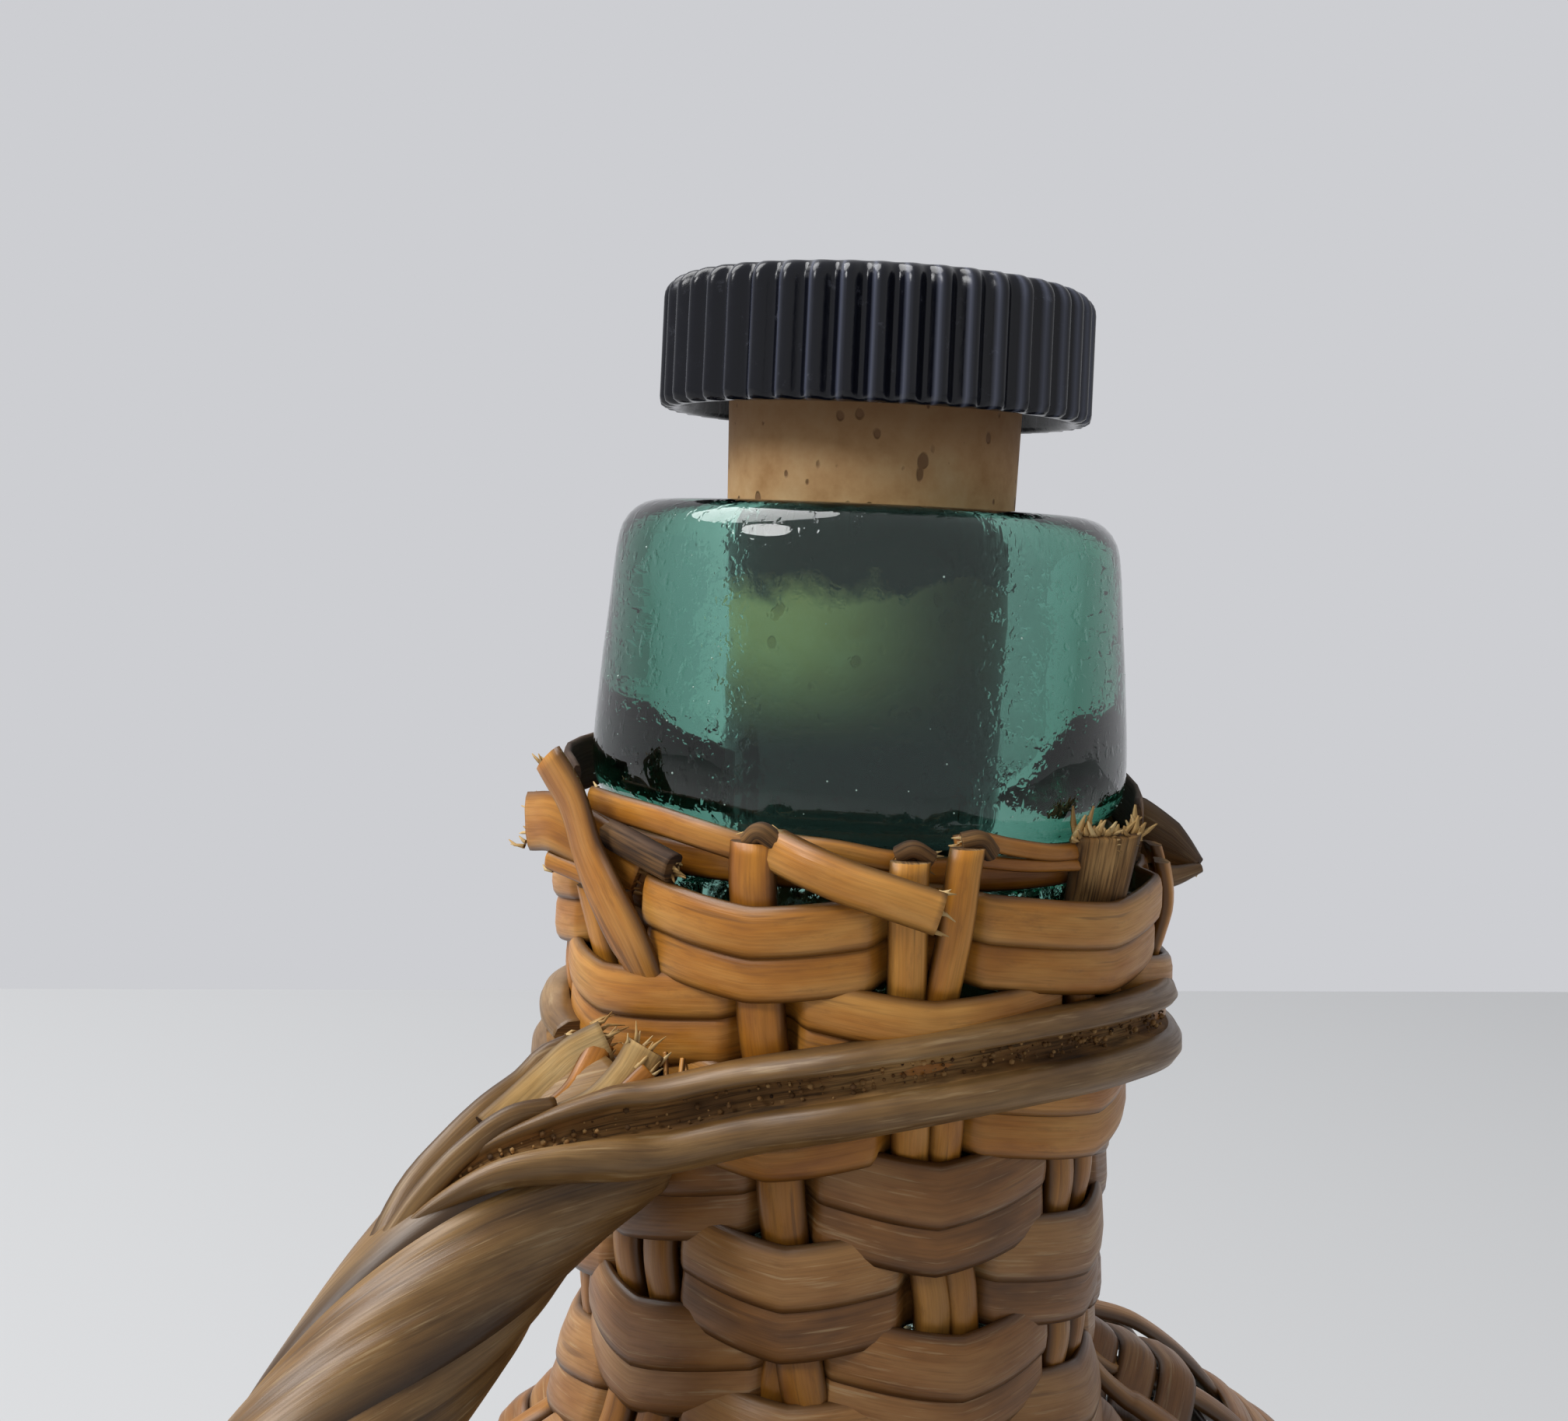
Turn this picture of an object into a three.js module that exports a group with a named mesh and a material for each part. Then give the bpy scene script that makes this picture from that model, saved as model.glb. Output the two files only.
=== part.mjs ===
import * as THREE from "three";
import { mergeVertices } from "three/addons/utils/BufferGeometryUtils.js";

// All sizes are in millimetres. Z is up, X runs along the wide side, the loop handle is on -X.
const clearance = 0.3; // play left between neighbouring pieces
const jacketPlay = 0.5; // play between the glass and the cane that lies on it
const weavePlay = 0.62; // play where one strip of cane crosses another

// Glass flask
const baseLevel = 11; // underside of the glass above the floor
const collarBottom = 251;
const neckLevel = collarBottom - 1; // where the neck turns out into the collar
const collarHeight = 24;
const collarBottomRadius = 21.5;
const collarTopRadius = 20.2;
const collarRounding = 3;
const collarFlare = 0.9; // how far the neck turns out under the collar
const glassWall = 3.4;
const glassSides = 36;
const boreBelowCork = 2; // the bore keeps its form this far below the cork
// Outer form of the glass from its base to the collar, as half width, half thickness and level.
const glassForm = [
  [50, 25, baseLevel],
  [66, 34, 17],
  [85, 42, 42],
  [96, 46, 92],
  [91, 45, 138],
  [74, 39.5, 171],
  [52, 30.5, 187.5],
  [34, 23.6, 195.5],
  [21, 19.4, 200.5],
  [17, 17, 208],
  [16.9, 16.9, 217],
  [17.3, 17.3, 232],
  [18.8, 18.8, neckLevel],
];

const turnBottom = 187; // the shoulder turns into the neck between these two levels
const turnTop = 212;

// Stopper
const capRadius = 17.5;
const capHeight = 10.4;
const capRounding = 2;
const capRibs = 45;
const capRibDepth = 0.7;
const capRimWall = 1.9;
const capRoof = 2.2;
const corkTopRadius = 12.1;
const corkTaper = 1.1; // fall in radius from the top of the cork to its lower end
const corkEdge = 0.6; // chamfer at the lower end
const corkShown = 7.5; // cork seen between the lip and the cap
const corkInserted = 23;
const boreClearance = 0.3;

// Split cane jacket
const stakePairs = 10;
const stakeWidth = 3.4;
const stakeThickness = 1.1;
const weaverThickness = 0.9;
const firstPairAngle = 13.5; // degrees round from +X, at the top of the neck
const stakeLean = 10; // degrees round, from the top of the neck down to leanEnd
const leanEnd = 214;
const neckRows = 6;
const neckRowTop = 244.4;
const neckRowPitch = 6.25;
const neckRowHeight = 6;
const bodyRows = 16;
const bodyRowHeight = 10.2;
const bodyRowTop = 185.5;
const bodyRowBottom = 25;
const spreadTop = 206; // the paired stakes part between these two levels
const spreadBottom = 193;
const stakeBottom = 13.4;
const rimHeight = 2.2;
const rimThickness = 1.44;
const rimDrop = 1.6; // from the collar's underside to the middle of the rim strip

// Foot under the jacket
const footHeight = 7.1;
const footWidth = 7;
const footHalfLength = 48;
const footHalfDepth = 25;
const baseMatThickness = 3.2;

// Loop handle, and the cane that ties it round the neck
const handleAngle = 168; // where its upper end meets the neck, in degrees round from +X
const strandCount = 4;
const strandRadius = 2.65;
const strandOffset = 4.1;
const strandLay = 62; // length of one full twist
const bindingLevel = 233.5;
const bindingRise = 1.5; // how far it climbs towards the side away from the handle
const bindingHeight = 6.4;
const bindingThickness = 2.6;
// Centre line as distance from the axis and level, from the neck to the shoulder.
const handleForm = [
  [24.5, 229.6],
  [30, 227],
  [36.5, 223],
  [45.5, 216.4],
  [60, 207],
  [74, 197.5],
  [83.3, 187.5],
  [83.6, 179.6],
  [78.4, 174.5],
];

const collarTop = collarBottom + collarHeight;
const neckTopRadius = glassForm[glassForm.length - 1][0];
const corkLength = corkInserted + corkShown + capHeight - capRoof - clearance;
const corkLowRadius = corkTopRadius - corkTaper;
const corkLipRadius = corkLowRadius + (corkTaper * corkInserted) / corkLength;
const boreTopRadius = corkLipRadius + boreClearance;
const boreLowRadius = corkLowRadius + boreClearance;
const boreDepth = corkInserted + boreBelowCork;
const stakeTop = collarBottom - rimDrop - rimHeight / 2 - clearance;
const glassCurve = new THREE.CatmullRomCurve3(glassForm.map(([a, b, z]) => new THREE.Vector3(a, b, z)));

function finish(geometry) {
  geometry.deleteAttribute("normal");
  geometry.deleteAttribute("uv");
  const merged = mergeVertices(geometry, 1e-4);
  merged.computeVertexNormals();
  return merged;
}

// Sweeps a section along frames that each hold a point and the two directions of the section.
function sweep(frames, section, closed) {
  const count = section.length;
  const points = [];
  const faces = [];
  for (const frame of frames) {
    for (const [u, v] of section) {
      const p = frame.point.clone().addScaledVector(frame.u, u).addScaledVector(frame.v, v);
      points.push(p.x, p.y, p.z);
    }
  }
  const spans = closed ? frames.length : frames.length - 1;
  for (let i = 0; i < spans; i += 1) {
    const here = i * count;
    const next = ((i + 1) % frames.length) * count;
    for (let k = 0; k < count; k += 1) {
      const m = (k + 1) % count;
      faces.push(here + k, here + m, next + m, here + k, next + m, next + k);
    }
  }
  if (!closed) {
    const last = (frames.length - 1) * count;
    for (let k = 1; k < count - 1; k += 1) {
      faces.push(0, k + 1, k, last, last + k, last + k + 1);
    }
  }
  const geometry = new THREE.BufferGeometry();
  geometry.setAttribute("position", new THREE.Float32BufferAttribute(points, 3));
  geometry.setIndex(faces);
  geometry.computeVertexNormals();
  return geometry;
}

// Joins oval rings, given as half width, half thickness and level; the first and last are points on the axis.
function loft(rows, sides) {
  const points = [0, 0, rows[0][2]];
  const rings = rows.slice(1, -1);
  rings.forEach(([a, b, z]) => {
    for (let i = 0; i < sides; i += 1) {
      const t = evenAngle((i / sides) * 2 * Math.PI, a, b);
      points.push(a * Math.cos(t), b * Math.sin(t), z);
    }
  });
  points.push(0, 0, rows[rows.length - 1][2]);
  return joinRings(points, rings.length, sides);
}

// Faces for rings of points with one point on the axis before the first ring and one after the last.
function joinRings(points, ringCount, sides) {
  const faces = [];
  const end = points.length / 3 - 1;
  for (let i = 0; i < sides; i += 1) {
    const j = (i + 1) % sides;
    faces.push(0, 1 + j, 1 + i);
    for (let r = 0; r < ringCount - 1; r += 1) {
      const low = 1 + r * sides;
      const high = low + sides;
      faces.push(low + i, low + j, high + j, low + i, high + j, high + i);
    }
    const top = 1 + (ringCount - 1) * sides;
    faces.push(end, top + i, top + j);
  }
  const geometry = new THREE.BufferGeometry();
  geometry.setAttribute("position", new THREE.Float32BufferAttribute(points, 3));
  geometry.setIndex(faces);
  geometry.computeVertexNormals();
  return geometry;
}

// Angle on an oval that spaces equal steps about evenly along its edge.
function evenAngle(s, a, b) {
  return s + 0.5 * ((a - b) / (a + b)) * Math.sin(2 * s);
}

function glassPoint(s, u) {
  const ring = glassCurve.getPointAt(Math.min(Math.max(u, 0), 1));
  const t = evenAngle(s, ring.x, ring.y);
  return new THREE.Vector3(ring.x * Math.cos(t), ring.y * Math.sin(t), ring.z);
}

// Point at a height above the glass, with the directions round the flask, up it and out of it.
function jacketFrame(s, u, height) {
  const step = 1e-3;
  const around = glassPoint(s + step, u).sub(glassPoint(s - step, u));
  const up = glassPoint(s, u + step).sub(glassPoint(s, u - step));
  const unitAround = around.clone().normalize();
  const out = new THREE.Vector3().crossVectors(around, up).normalize();
  const along = new THREE.Vector3().crossVectors(out, unitAround);
  const point = glassPoint(s, u).addScaledVector(out, height);
  return { point, around: unitAround, along, out, arc: around.length() / (2 * step) };
}

function shareAtLevel(level) {
  let low = 0;
  let high = 1;
  for (let i = 0; i < 40; i += 1) {
    const middle = (low + high) / 2;
    if (glassCurve.getPointAt(middle).z < level) low = middle;
    else high = middle;
  }
  return (low + high) / 2;
}

// Shares of the form's length between two levels, closer together where the shoulder turns into the neck.
function profileSteps(lowLevel, highLevel, counts) {
  const stops = [lowLevel, turnBottom, turnTop, highLevel].map(shareAtLevel);
  const shares = [stops[0]];
  counts.forEach((count, part) => {
    for (let i = 1; i <= count; i += 1) {
      shares.push(stops[part] + ((stops[part + 1] - stops[part]) * i) / count);
    }
  });
  return shares;
}

// Shares between two levels, evenly spaced along the outline of the flat side, from the top down.
function evenShares(highLevel, lowLevel, count) {
  const samples = 400;
  const high = shareAtLevel(highLevel);
  const low = shareAtLevel(lowLevel);
  const lengths = [0];
  let before = glassCurve.getPointAt(high);
  for (let i = 1; i <= samples; i += 1) {
    const here = glassCurve.getPointAt(high + ((low - high) * i) / samples);
    lengths.push(lengths[i - 1] + Math.hypot(here.y - before.y, here.z - before.z));
    before = here;
  }
  return Array.from({ length: count }, (_, k) => {
    const goal = (lengths[samples] * k) / (count - 1);
    const i = lengths.findIndex((length) => length >= goal - 1e-9);
    return high + ((low - high) * i) / samples;
  });
}

// Heights above the glass of a weaver under a stake, of the stake, and of a weaver over it.
const underHeight = jacketPlay + weaverThickness / 2;
const stakeHeight = underHeight + weaverThickness / 2 + weavePlay + stakeThickness / 2;
const overHeight = stakeHeight + stakeThickness / 2 + weavePlay + weaverThickness / 2;
const jacketHeight = overHeight + weaverThickness / 2;
const pairStep = (2 * Math.PI) / stakePairs;

// Half angle between the two stakes of a pair: side by side on the neck, evenly spread on the body.
function pairHalfAngle(u) {
  const ring = glassCurve.getPointAt(u);
  const close = (stakeWidth + clearance) / 2 / (ring.y + stakeHeight);
  const part = THREE.MathUtils.smoothstep(ring.z, spreadBottom, spreadTop);
  return pairStep / 4 + (close - pairStep / 4) * part;
}

// Angle of a pair's middle; the pairs lean on the neck.
function pairAngle(pair, u) {
  const part = (stakeTop - glassCurve.getPointAt(u).z) / (stakeTop - leanEnd);
  const turn = firstPairAngle + stakeLean * THREE.MathUtils.clamp(part, 0, 1);
  return THREE.MathUtils.degToRad(turn) + pair * pairStep;
}

function stakeAngle(index, u) {
  const pair = Math.floor(index / 2);
  const side = index % 2 === 0 ? -1 : 1;
  return pairAngle(pair, u) + side * pairHalfAngle(u);
}

function rectangle(width, thickness) {
  const w = width / 2;
  const t = thickness / 2;
  return [[-w, -t], [w, -t], [w, t], [-w, t]];
}

function stakeGeometry(index) {
  const frames = [];
  for (const u of profileSteps(stakeBottom, stakeTop, [16, 9, 3])) {
    const f = jacketFrame(stakeAngle(index, u), u, stakeHeight);
    frames.push({ point: f.point, u: f.around, v: f.out });
  }
  return sweep(frames, rectangle(stakeWidth, stakeThickness).reverse(), false);
}

// A band that goes over and under the stakes in turn, all the way round.
function rowGeometry(u, height, paired, startOver) {
  const crossings = paired ? stakePairs : 2 * stakePairs;
  const stops = paired ? [-1, 0, 1] : [-1, 1];
  const frames = [];
  for (let i = 0; i < crossings; i += 1) {
    const middle = paired ? pairAngle(i, u) : stakeAngle(i, u);
    const over = (i % 2 === 0) === startOver;
    const level = over ? overHeight : underHeight;
    const halfWidth = (paired ? stakeWidth + clearance / 2 : stakeWidth / 2) + 2 * clearance;
    const half = halfWidth / (jacketFrame(middle, u, 0).arc + (paired ? stakeHeight : 0));
    for (const stop of stops) {
      const f = jacketFrame(middle + stop * half, u, level);
      frames.push({ point: f.point, u: f.along, v: f.out });
    }
  }
  return sweep(frames, rectangle(height, weaverThickness), true);
}

// A ring or an arc of cane lying on the neck, between two angles.
function neckBand(level, rise, inner, section, from, to, steps) {
  const closed = to - from >= 360;
  const frames = [];
  const count = closed ? steps - 1 : steps;
  for (let i = 0; i <= count; i += 1) {
    const s = THREE.MathUtils.degToRad(from + ((to - from) * i) / steps);
    const lift = rise * Math.sin((Math.PI * i) / steps);
    const out = new THREE.Vector3(Math.cos(s), Math.sin(s), 0);
    const point = out.clone().multiplyScalar(inner).setZ(level + lift);
    frames.push({ point, u: new THREE.Vector3(0, 0, 1), v: out });
  }
  return sweep(frames, section, closed);
}

function glassGeometry() {
  const rows = [[0, 0, baseLevel]];
  for (const u of profileSteps(baseLevel, neckLevel, [11, 10, 3])) {
    const p = glassCurve.getPointAt(u);
    rows.push([p.x, p.y, p.z]);
  }
  const r = collarRounding;
  const circle = (radius, z) => rows.push([radius, radius, z]);
  circle(neckTopRadius + collarFlare, collarBottom);
  circle(collarBottomRadius - r * 0.15, collarBottom + r * 0.4);
  circle(collarBottomRadius, collarBottom + r);
  circle(collarTopRadius, collarTop - r);
  circle(collarTopRadius - r * 0.3, collarTop - r * 0.3);
  circle(collarTopRadius - r, collarTop);
  circle(boreTopRadius + 0.8, collarTop);
  circle(boreTopRadius, collarTop - 0.8);
  circle(boreLowRadius, collarTop - boreDepth);
  const inside = profileSteps(baseLevel, neckLevel, [8, 6, 2]).map((u) => {
    const p = glassCurve.getPointAt(u);
    const t = glassCurve.getTangentAt(u);
    const wide = Math.hypot(t.x, t.z);
    const deep = Math.hypot(t.y, t.z);
    const lift = (glassWall * (t.x / wide + t.y / deep)) / 2;
    return [p.x - (glassWall * t.z) / wide, p.y - (glassWall * t.z) / deep, p.z + lift];
  });
  inside.pop();
  inside.reverse().forEach((row) => rows.push(row));
  rows.push([0, 0, inside[inside.length - 1][2]]);
  return loft(rows, glassSides);
}

function corkGeometry() {
  const low = collarTop - corkInserted;
  const top = low + corkLength;
  const points = [
    [0, low],
    [corkLowRadius - corkEdge, low],
    [corkLowRadius, low + corkEdge],
    [corkTopRadius, top],
    [0, top],
  ];
  const profile = points.map(([x, y]) => new THREE.Vector2(x, y));
  return new THREE.LatheGeometry(profile, 32).rotateX(Math.PI / 2);
}

// A ribbed cup turned upside down: flutes round the side, a rounded top edge, hollow below.
function capGeometry() {
  const low = collarTop + corkShown;
  const roof = low + capHeight - capRoof;
  const top = low + capHeight;
  const r = capRounding;
  const hollow = capRadius - capRimWall;
  const rings = [
    [hollow, 0, roof],
    [hollow, 0, low],
    [capRadius, capRibDepth, low],
    [capRadius, capRibDepth, top - r],
    [capRadius - r * 0.3, capRibDepth * 0.7, top - r * 0.3],
    [capRadius - r, 0, top],
  ];
  const sides = 2 * capRibs;
  const points = [0, 0, roof];
  for (const [ringRadius, dip, z] of rings) {
    for (let i = 0; i < sides; i += 1) {
      const angle = (i / sides) * 2 * Math.PI;
      const radius = ringRadius - (i % 2) * dip;
      points.push(radius * Math.cos(angle), radius * Math.sin(angle), z);
    }
  }
  points.push(0, 0, top);
  return joinRings(points, rings.length, sides);
}

// An oval ring with a flat underside and a rounded outer edge, or a plain oval mat.
function footGeometry() {
  const section = [[0, 0], [footWidth, 0], [footWidth, footHeight * 0.6], [footWidth - 2, footHeight], [0, footHeight]];
  const frames = [];
  for (let i = 0; i < 48; i += 1) {
    const t = evenAngle((i / 48) * 2 * Math.PI, footHalfLength, footHalfDepth);
    const a = footHalfLength - footWidth / 2;
    const b = footHalfDepth - footWidth / 2;
    const out = new THREE.Vector3(b * Math.cos(t), a * Math.sin(t), 0).normalize();
    frames.push({ point: new THREE.Vector3(a * Math.cos(t), b * Math.sin(t), 0), u: out, v: new THREE.Vector3(0, 0, 1) });
  }
  return sweep(frames, section.reverse(), true);
}

function baseMatGeometry() {
  const low = baseLevel - clearance - baseMatThickness;
  const a = footHalfLength + footWidth / 2;
  const b = footHalfDepth + footWidth / 2;
  const rows = [
    [0, 0, low],
    [a - 0.6, b - 0.6, low],
    [a, b, low + 0.6],
    [a, b, baseLevel - clearance - 0.6],
    [a - 0.6, b - 0.6, baseLevel - clearance],
    [0, 0, baseLevel - clearance],
  ];
  return loft(rows, 40);
}

function strandGeometry(index) {
  const turn = THREE.MathUtils.degToRad(handleAngle);
  // The upper end leaves the neck a little off the wide side and comes back to it lower down.
  const path = handleForm.map(([r, z]) => {
    const share = THREE.MathUtils.smoothstep(r, handleForm[0][0], handleForm[6][0]);
    const s = turn + (Math.PI - turn) * share;
    return new THREE.Vector3(r * Math.cos(s), r * Math.sin(s), z);
  });
  const curve = new THREE.CatmullRomCurve3(path);
  const steps = 26;
  const axes = curve.computeFrenetFrames(steps, false);
  const length = curve.getLength();
  const sides = 6;
  const section = [];
  for (let k = 0; k < sides; k += 1) {
    const a = (k / sides) * 2 * Math.PI;
    section.push([strandRadius * Math.cos(a), strandRadius * Math.sin(a)]);
  }
  const frames = [];
  for (let i = 0; i <= steps; i += 1) {
    const share = i / steps;
    const angle = 2 * Math.PI * (index / strandCount + (length * share) / strandLay);
    const u = axes.normals[i].clone().multiplyScalar(Math.cos(angle));
    u.addScaledVector(axes.binormals[i], Math.sin(angle));
    const v = new THREE.Vector3().crossVectors(axes.tangents[i], u);
    const point = curve.getPointAt(share).addScaledVector(u, strandOffset);
    frames.push({ point, u, v });
  }
  return sweep(frames, section, false);
}

const flask = new THREE.Group();

function add(name, geometry, color, roughness) {
  const material = new THREE.MeshStandardMaterial({ color, roughness });
  const mesh = new THREE.Mesh(finish(geometry), material);
  mesh.name = name;
  flask.add(mesh);
}

add("glass_bottle", glassGeometry(), 0x2f7a5e, 0.08);
add("stopper_cork", corkGeometry(), 0xc69a68, 0.8);
add("stopper_cap", capGeometry(), 0x14161f, 0.25);

for (let i = 0; i < 2 * stakePairs; i += 1) {
  add(`stake_${String(i + 1).padStart(2, "0")}`, stakeGeometry(i), 0xb5803f, 0.5);
}
for (let i = 0; i < neckRows; i += 1) {
  const u = shareAtLevel(neckRowTop - i * neckRowPitch);
  add(`neck_row_${i + 1}`, rowGeometry(u, neckRowHeight, true, i % 2 === 1), 0xb07c42, 0.5);
}
const bodyShares = evenShares(bodyRowTop, bodyRowBottom, bodyRows);
bodyShares.forEach((u, i) => {
  const name = `body_row_${String(i + 1).padStart(2, "0")}`;
  add(name, rowGeometry(u, bodyRowHeight, false, i % 2 === 0), 0xa07c50, 0.5);
});

const rimRadius = neckTopRadius + jacketPlay + rimThickness / 2;
const rimSection = rectangle(rimHeight, rimThickness);
add("rim_strip", neckBand(collarBottom - rimDrop, 0, rimRadius, rimSection, 0, 360, 40), 0xa8763c, 0.5);

const bindingInner = glassCurve.getPointAt(shareAtLevel(bindingLevel + bindingRise + bindingHeight / 2)).x + jacketHeight + clearance;
const h = bindingHeight / 2;
const halfRound = [[-h, 0], [h, 0], [h * 0.75, bindingThickness * 0.72], [0, bindingThickness], [-h * 0.75, bindingThickness * 0.72]];
const handleHalf = THREE.MathUtils.radToDeg((strandOffset + strandRadius + 2 * clearance) / bindingInner);
const bindingFrom = handleAngle + handleHalf;
const bindingTo = handleAngle + 360 - handleHalf;
add("neck_binding", neckBand(bindingLevel, bindingRise, bindingInner, halfRound, bindingFrom, bindingTo, 36), 0xa9855a, 0.5);

for (let i = 0; i < strandCount; i += 1) {
  add(`handle_strand_${i + 1}`, strandGeometry(i), 0xa88a60, 0.55);
}
add("foot_ring", footGeometry(), 0x9a7444, 0.55);
add("base_mat", baseMatGeometry(), 0x9a7444, 0.55);

export default flask;
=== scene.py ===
import functools
import math

import bmesh
import bpy
import numpy as np
from mathutils import Matrix, Quaternion, Vector


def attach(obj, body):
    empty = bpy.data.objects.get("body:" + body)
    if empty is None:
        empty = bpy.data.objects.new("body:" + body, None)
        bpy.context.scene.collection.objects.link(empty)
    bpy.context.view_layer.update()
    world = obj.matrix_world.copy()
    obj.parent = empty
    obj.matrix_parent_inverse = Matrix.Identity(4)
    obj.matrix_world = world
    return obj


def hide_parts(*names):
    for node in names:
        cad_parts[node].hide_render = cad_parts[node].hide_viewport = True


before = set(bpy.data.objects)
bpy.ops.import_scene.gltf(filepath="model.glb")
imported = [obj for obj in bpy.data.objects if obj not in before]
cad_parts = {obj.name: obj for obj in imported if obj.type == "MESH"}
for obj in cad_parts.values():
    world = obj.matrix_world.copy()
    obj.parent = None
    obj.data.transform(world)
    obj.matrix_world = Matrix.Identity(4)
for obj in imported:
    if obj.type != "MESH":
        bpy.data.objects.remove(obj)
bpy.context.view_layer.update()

mm = 0.001
fullTurn = 2 * math.pi
scene = bpy.context.scene
print("stage: frame loaded,", len(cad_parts), "nodes")


# Colour and node helpers

def linear(hexColour):
    parts = [int(hexColour[i:i + 2], 16) / 255 for i in (1, 3, 5)]
    return tuple(c / 12.92 if c <= 0.04045 else ((c + 0.055) / 1.055) ** 2.4 for c in parts) + (1.0,)


rgba = {"data_type": "RGBA"}  # what a Mix node of colours needs


# Adds a node with its settings and inputs, where a node stands for its first output in use
def addNode(tree, kind, inputs=None, **settings):
    node = tree.nodes.new("ShaderNode" + kind)
    for key, value in settings.items():
        setattr(node, key, value)
    for key, value in (inputs or {}).items():
        if isinstance(value, bpy.types.Node):
            value = next(socket for socket in value.outputs if socket.enabled)
        if isinstance(value, bpy.types.NodeSocket):
            tree.links.new(value, node.inputs[key])
        else:
            node.inputs[key].default_value = value
    return node


# A material with no nodes yet, and addNode for its tree
def newMaterial(name):
    material = bpy.data.materials.new(name)
    material.use_nodes = True
    material.node_tree.nodes.clear()
    return material, functools.partial(addNode, material.node_tree)


def setRamp(node, stops):
    elements = node.color_ramp.elements
    while len(elements) < len(stops):
        elements.new(1.0)
    for element, (place, colour) in zip(elements, stops):
        element.position = place
        element.color = linear(colour)
    return node


# Split cane: fine fibres along the strip, patches of lighter and darker skin, stains, a satin shine, dirt and
# painted shade along the edges, and painted shade low down where asked
def caneMaterial(name, dark, middle, light, fibre=0.14, roughness=0.36, stain=0.35, paintedLowShade=0.0, worn=0.0):
    material, add = newMaterial(name)
    uv = add("UVMap", uv_map="UVMap")  # mm across the strip and along it
    tone = add("Attribute", attribute_name="tone").outputs["Fac"]
    split = add("SeparateXYZ", {0: uv})
    shift = add("Math", {0: tone, 1: 97.0}, operation="MULTIPLY")  # each strip has its own pattern
    place = add("CombineXYZ", {0: split.outputs[0], 1: split.outputs[1], 2: shift})
    drawn = add("Mapping", {"Vector": place, "Scale": (1.0, 0.03, 1.0)})
    fibres = add("TexNoise", {"Vector": drawn, "Scale": 5.5, "Detail": 4.0, "Roughness": 0.6})  # 0.2 mm
    broad = add("Mapping", {"Vector": place, "Scale": (0.5, 0.12, 1.0)})
    patches = add("TexNoise", {"Vector": broad, "Scale": 0.75, "Detail": 3.0, "Roughness": 0.6})  # 3 mm
    blend = add("Math", {0: tone, 1: 0.4, 2: patches}, operation="MULTIPLY_ADD")
    base = setRamp(add("ValToRGB", {0: blend}), [(0.42, dark), (0.68, middle), (0.95, light)])
    lines = add("MapRange", {0: fibres, 1: 0.36, 2: 0.56, 3: 1.0 - fibre, 4: 1.04})
    colour = add("Mix", {0: 1.0, 6: base, 7: lines}, blend_type="MULTIPLY", **rgba)
    narrow = add("Mapping", {"Vector": place, "Scale": (1.0, 0.05, 1.0)})
    streaks = add("TexNoise", {"Vector": narrow, "Scale": 1.7})  # 0.6 mm
    thin = add("MapRange", {0: streaks, 1: 0.64, 2: 0.72, 4: 0.45})
    colour = add("Mix", {0: thin, 6: colour, 7: linear("#4a2c10")}, **rgba)
    stains = add("TexNoise", {"Vector": broad, "Scale": 2.6, "Detail": 5.0, "Roughness": 0.7})  # 0.8 mm
    stained = add("MapRange", {0: stains, 1: 0.56, 2: 0.74, 4: stain})
    colour = add("Mix", {0: stained, 6: colour, 7: linear("#5c3c1c")}, **rgba)
    if worn:  # pale scuffs along the fibres
        rubs = add("TexNoise", {"Vector": narrow, "Scale": 2.9, "Detail": 4.0, "Roughness": 0.6})  # 0.3 mm
        pale = add("MapRange", {0: rubs, 1: 0.58, 2: 0.7, 4: worn})
        colour = add("Mix", {0: pale, 6: colour, 7: linear("#cbb084")}, **rgba)
    # dirt and painted shade: darker along the strip's edges, on its underside and in its grooves
    edge = add("Attribute", attribute_name="edge").outputs["Fac"]
    edgeDirtAndShade = add("MapRange", {0: edge, 1: 0.66, 2: 1.0, 4: 0.85})
    colour = add("Mix", {0: edgeDirtAndShade, 6: colour, 7: linear("#2c190a")}, **rgba)
    if paintedLowShade:  # painted shade: darker below the neck's upper rows, and more so on the shoulder
        level = add("SeparateXYZ", {0: add("TexCoord").outputs["Object"]}).outputs[2]
        low = add("MapRange", {0: level, 1: 222 * mm, 2: 235 * mm, 3: paintedLowShade, 4: 0.0})
        lower = add("MapRange", {0: level, 1: 196 * mm, 2: 209 * mm, 3: 1.6 * paintedLowShade, 4: 0.0})
        most = add("Math", {0: low, 1: lower}, operation="MAXIMUM")
        colour = add("Mix", {0: most, 6: colour, 7: linear("#4c3012")}, **rgba)
    bump = add("Bump", {"Height": fibres, "Strength": 0.2, "Distance": 0.15 * mm})
    shine = add("MapRange", {0: fibres, 1: 0.3, 2: 0.7, 3: roughness + 0.14, 4: roughness - 0.04})
    skin = add("BsdfPrincipled", {"Base Color": colour, "Roughness": shine, "Normal": bump, "IOR": 1.46})
    add("OutputMaterial", {0: skin})
    return material


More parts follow.
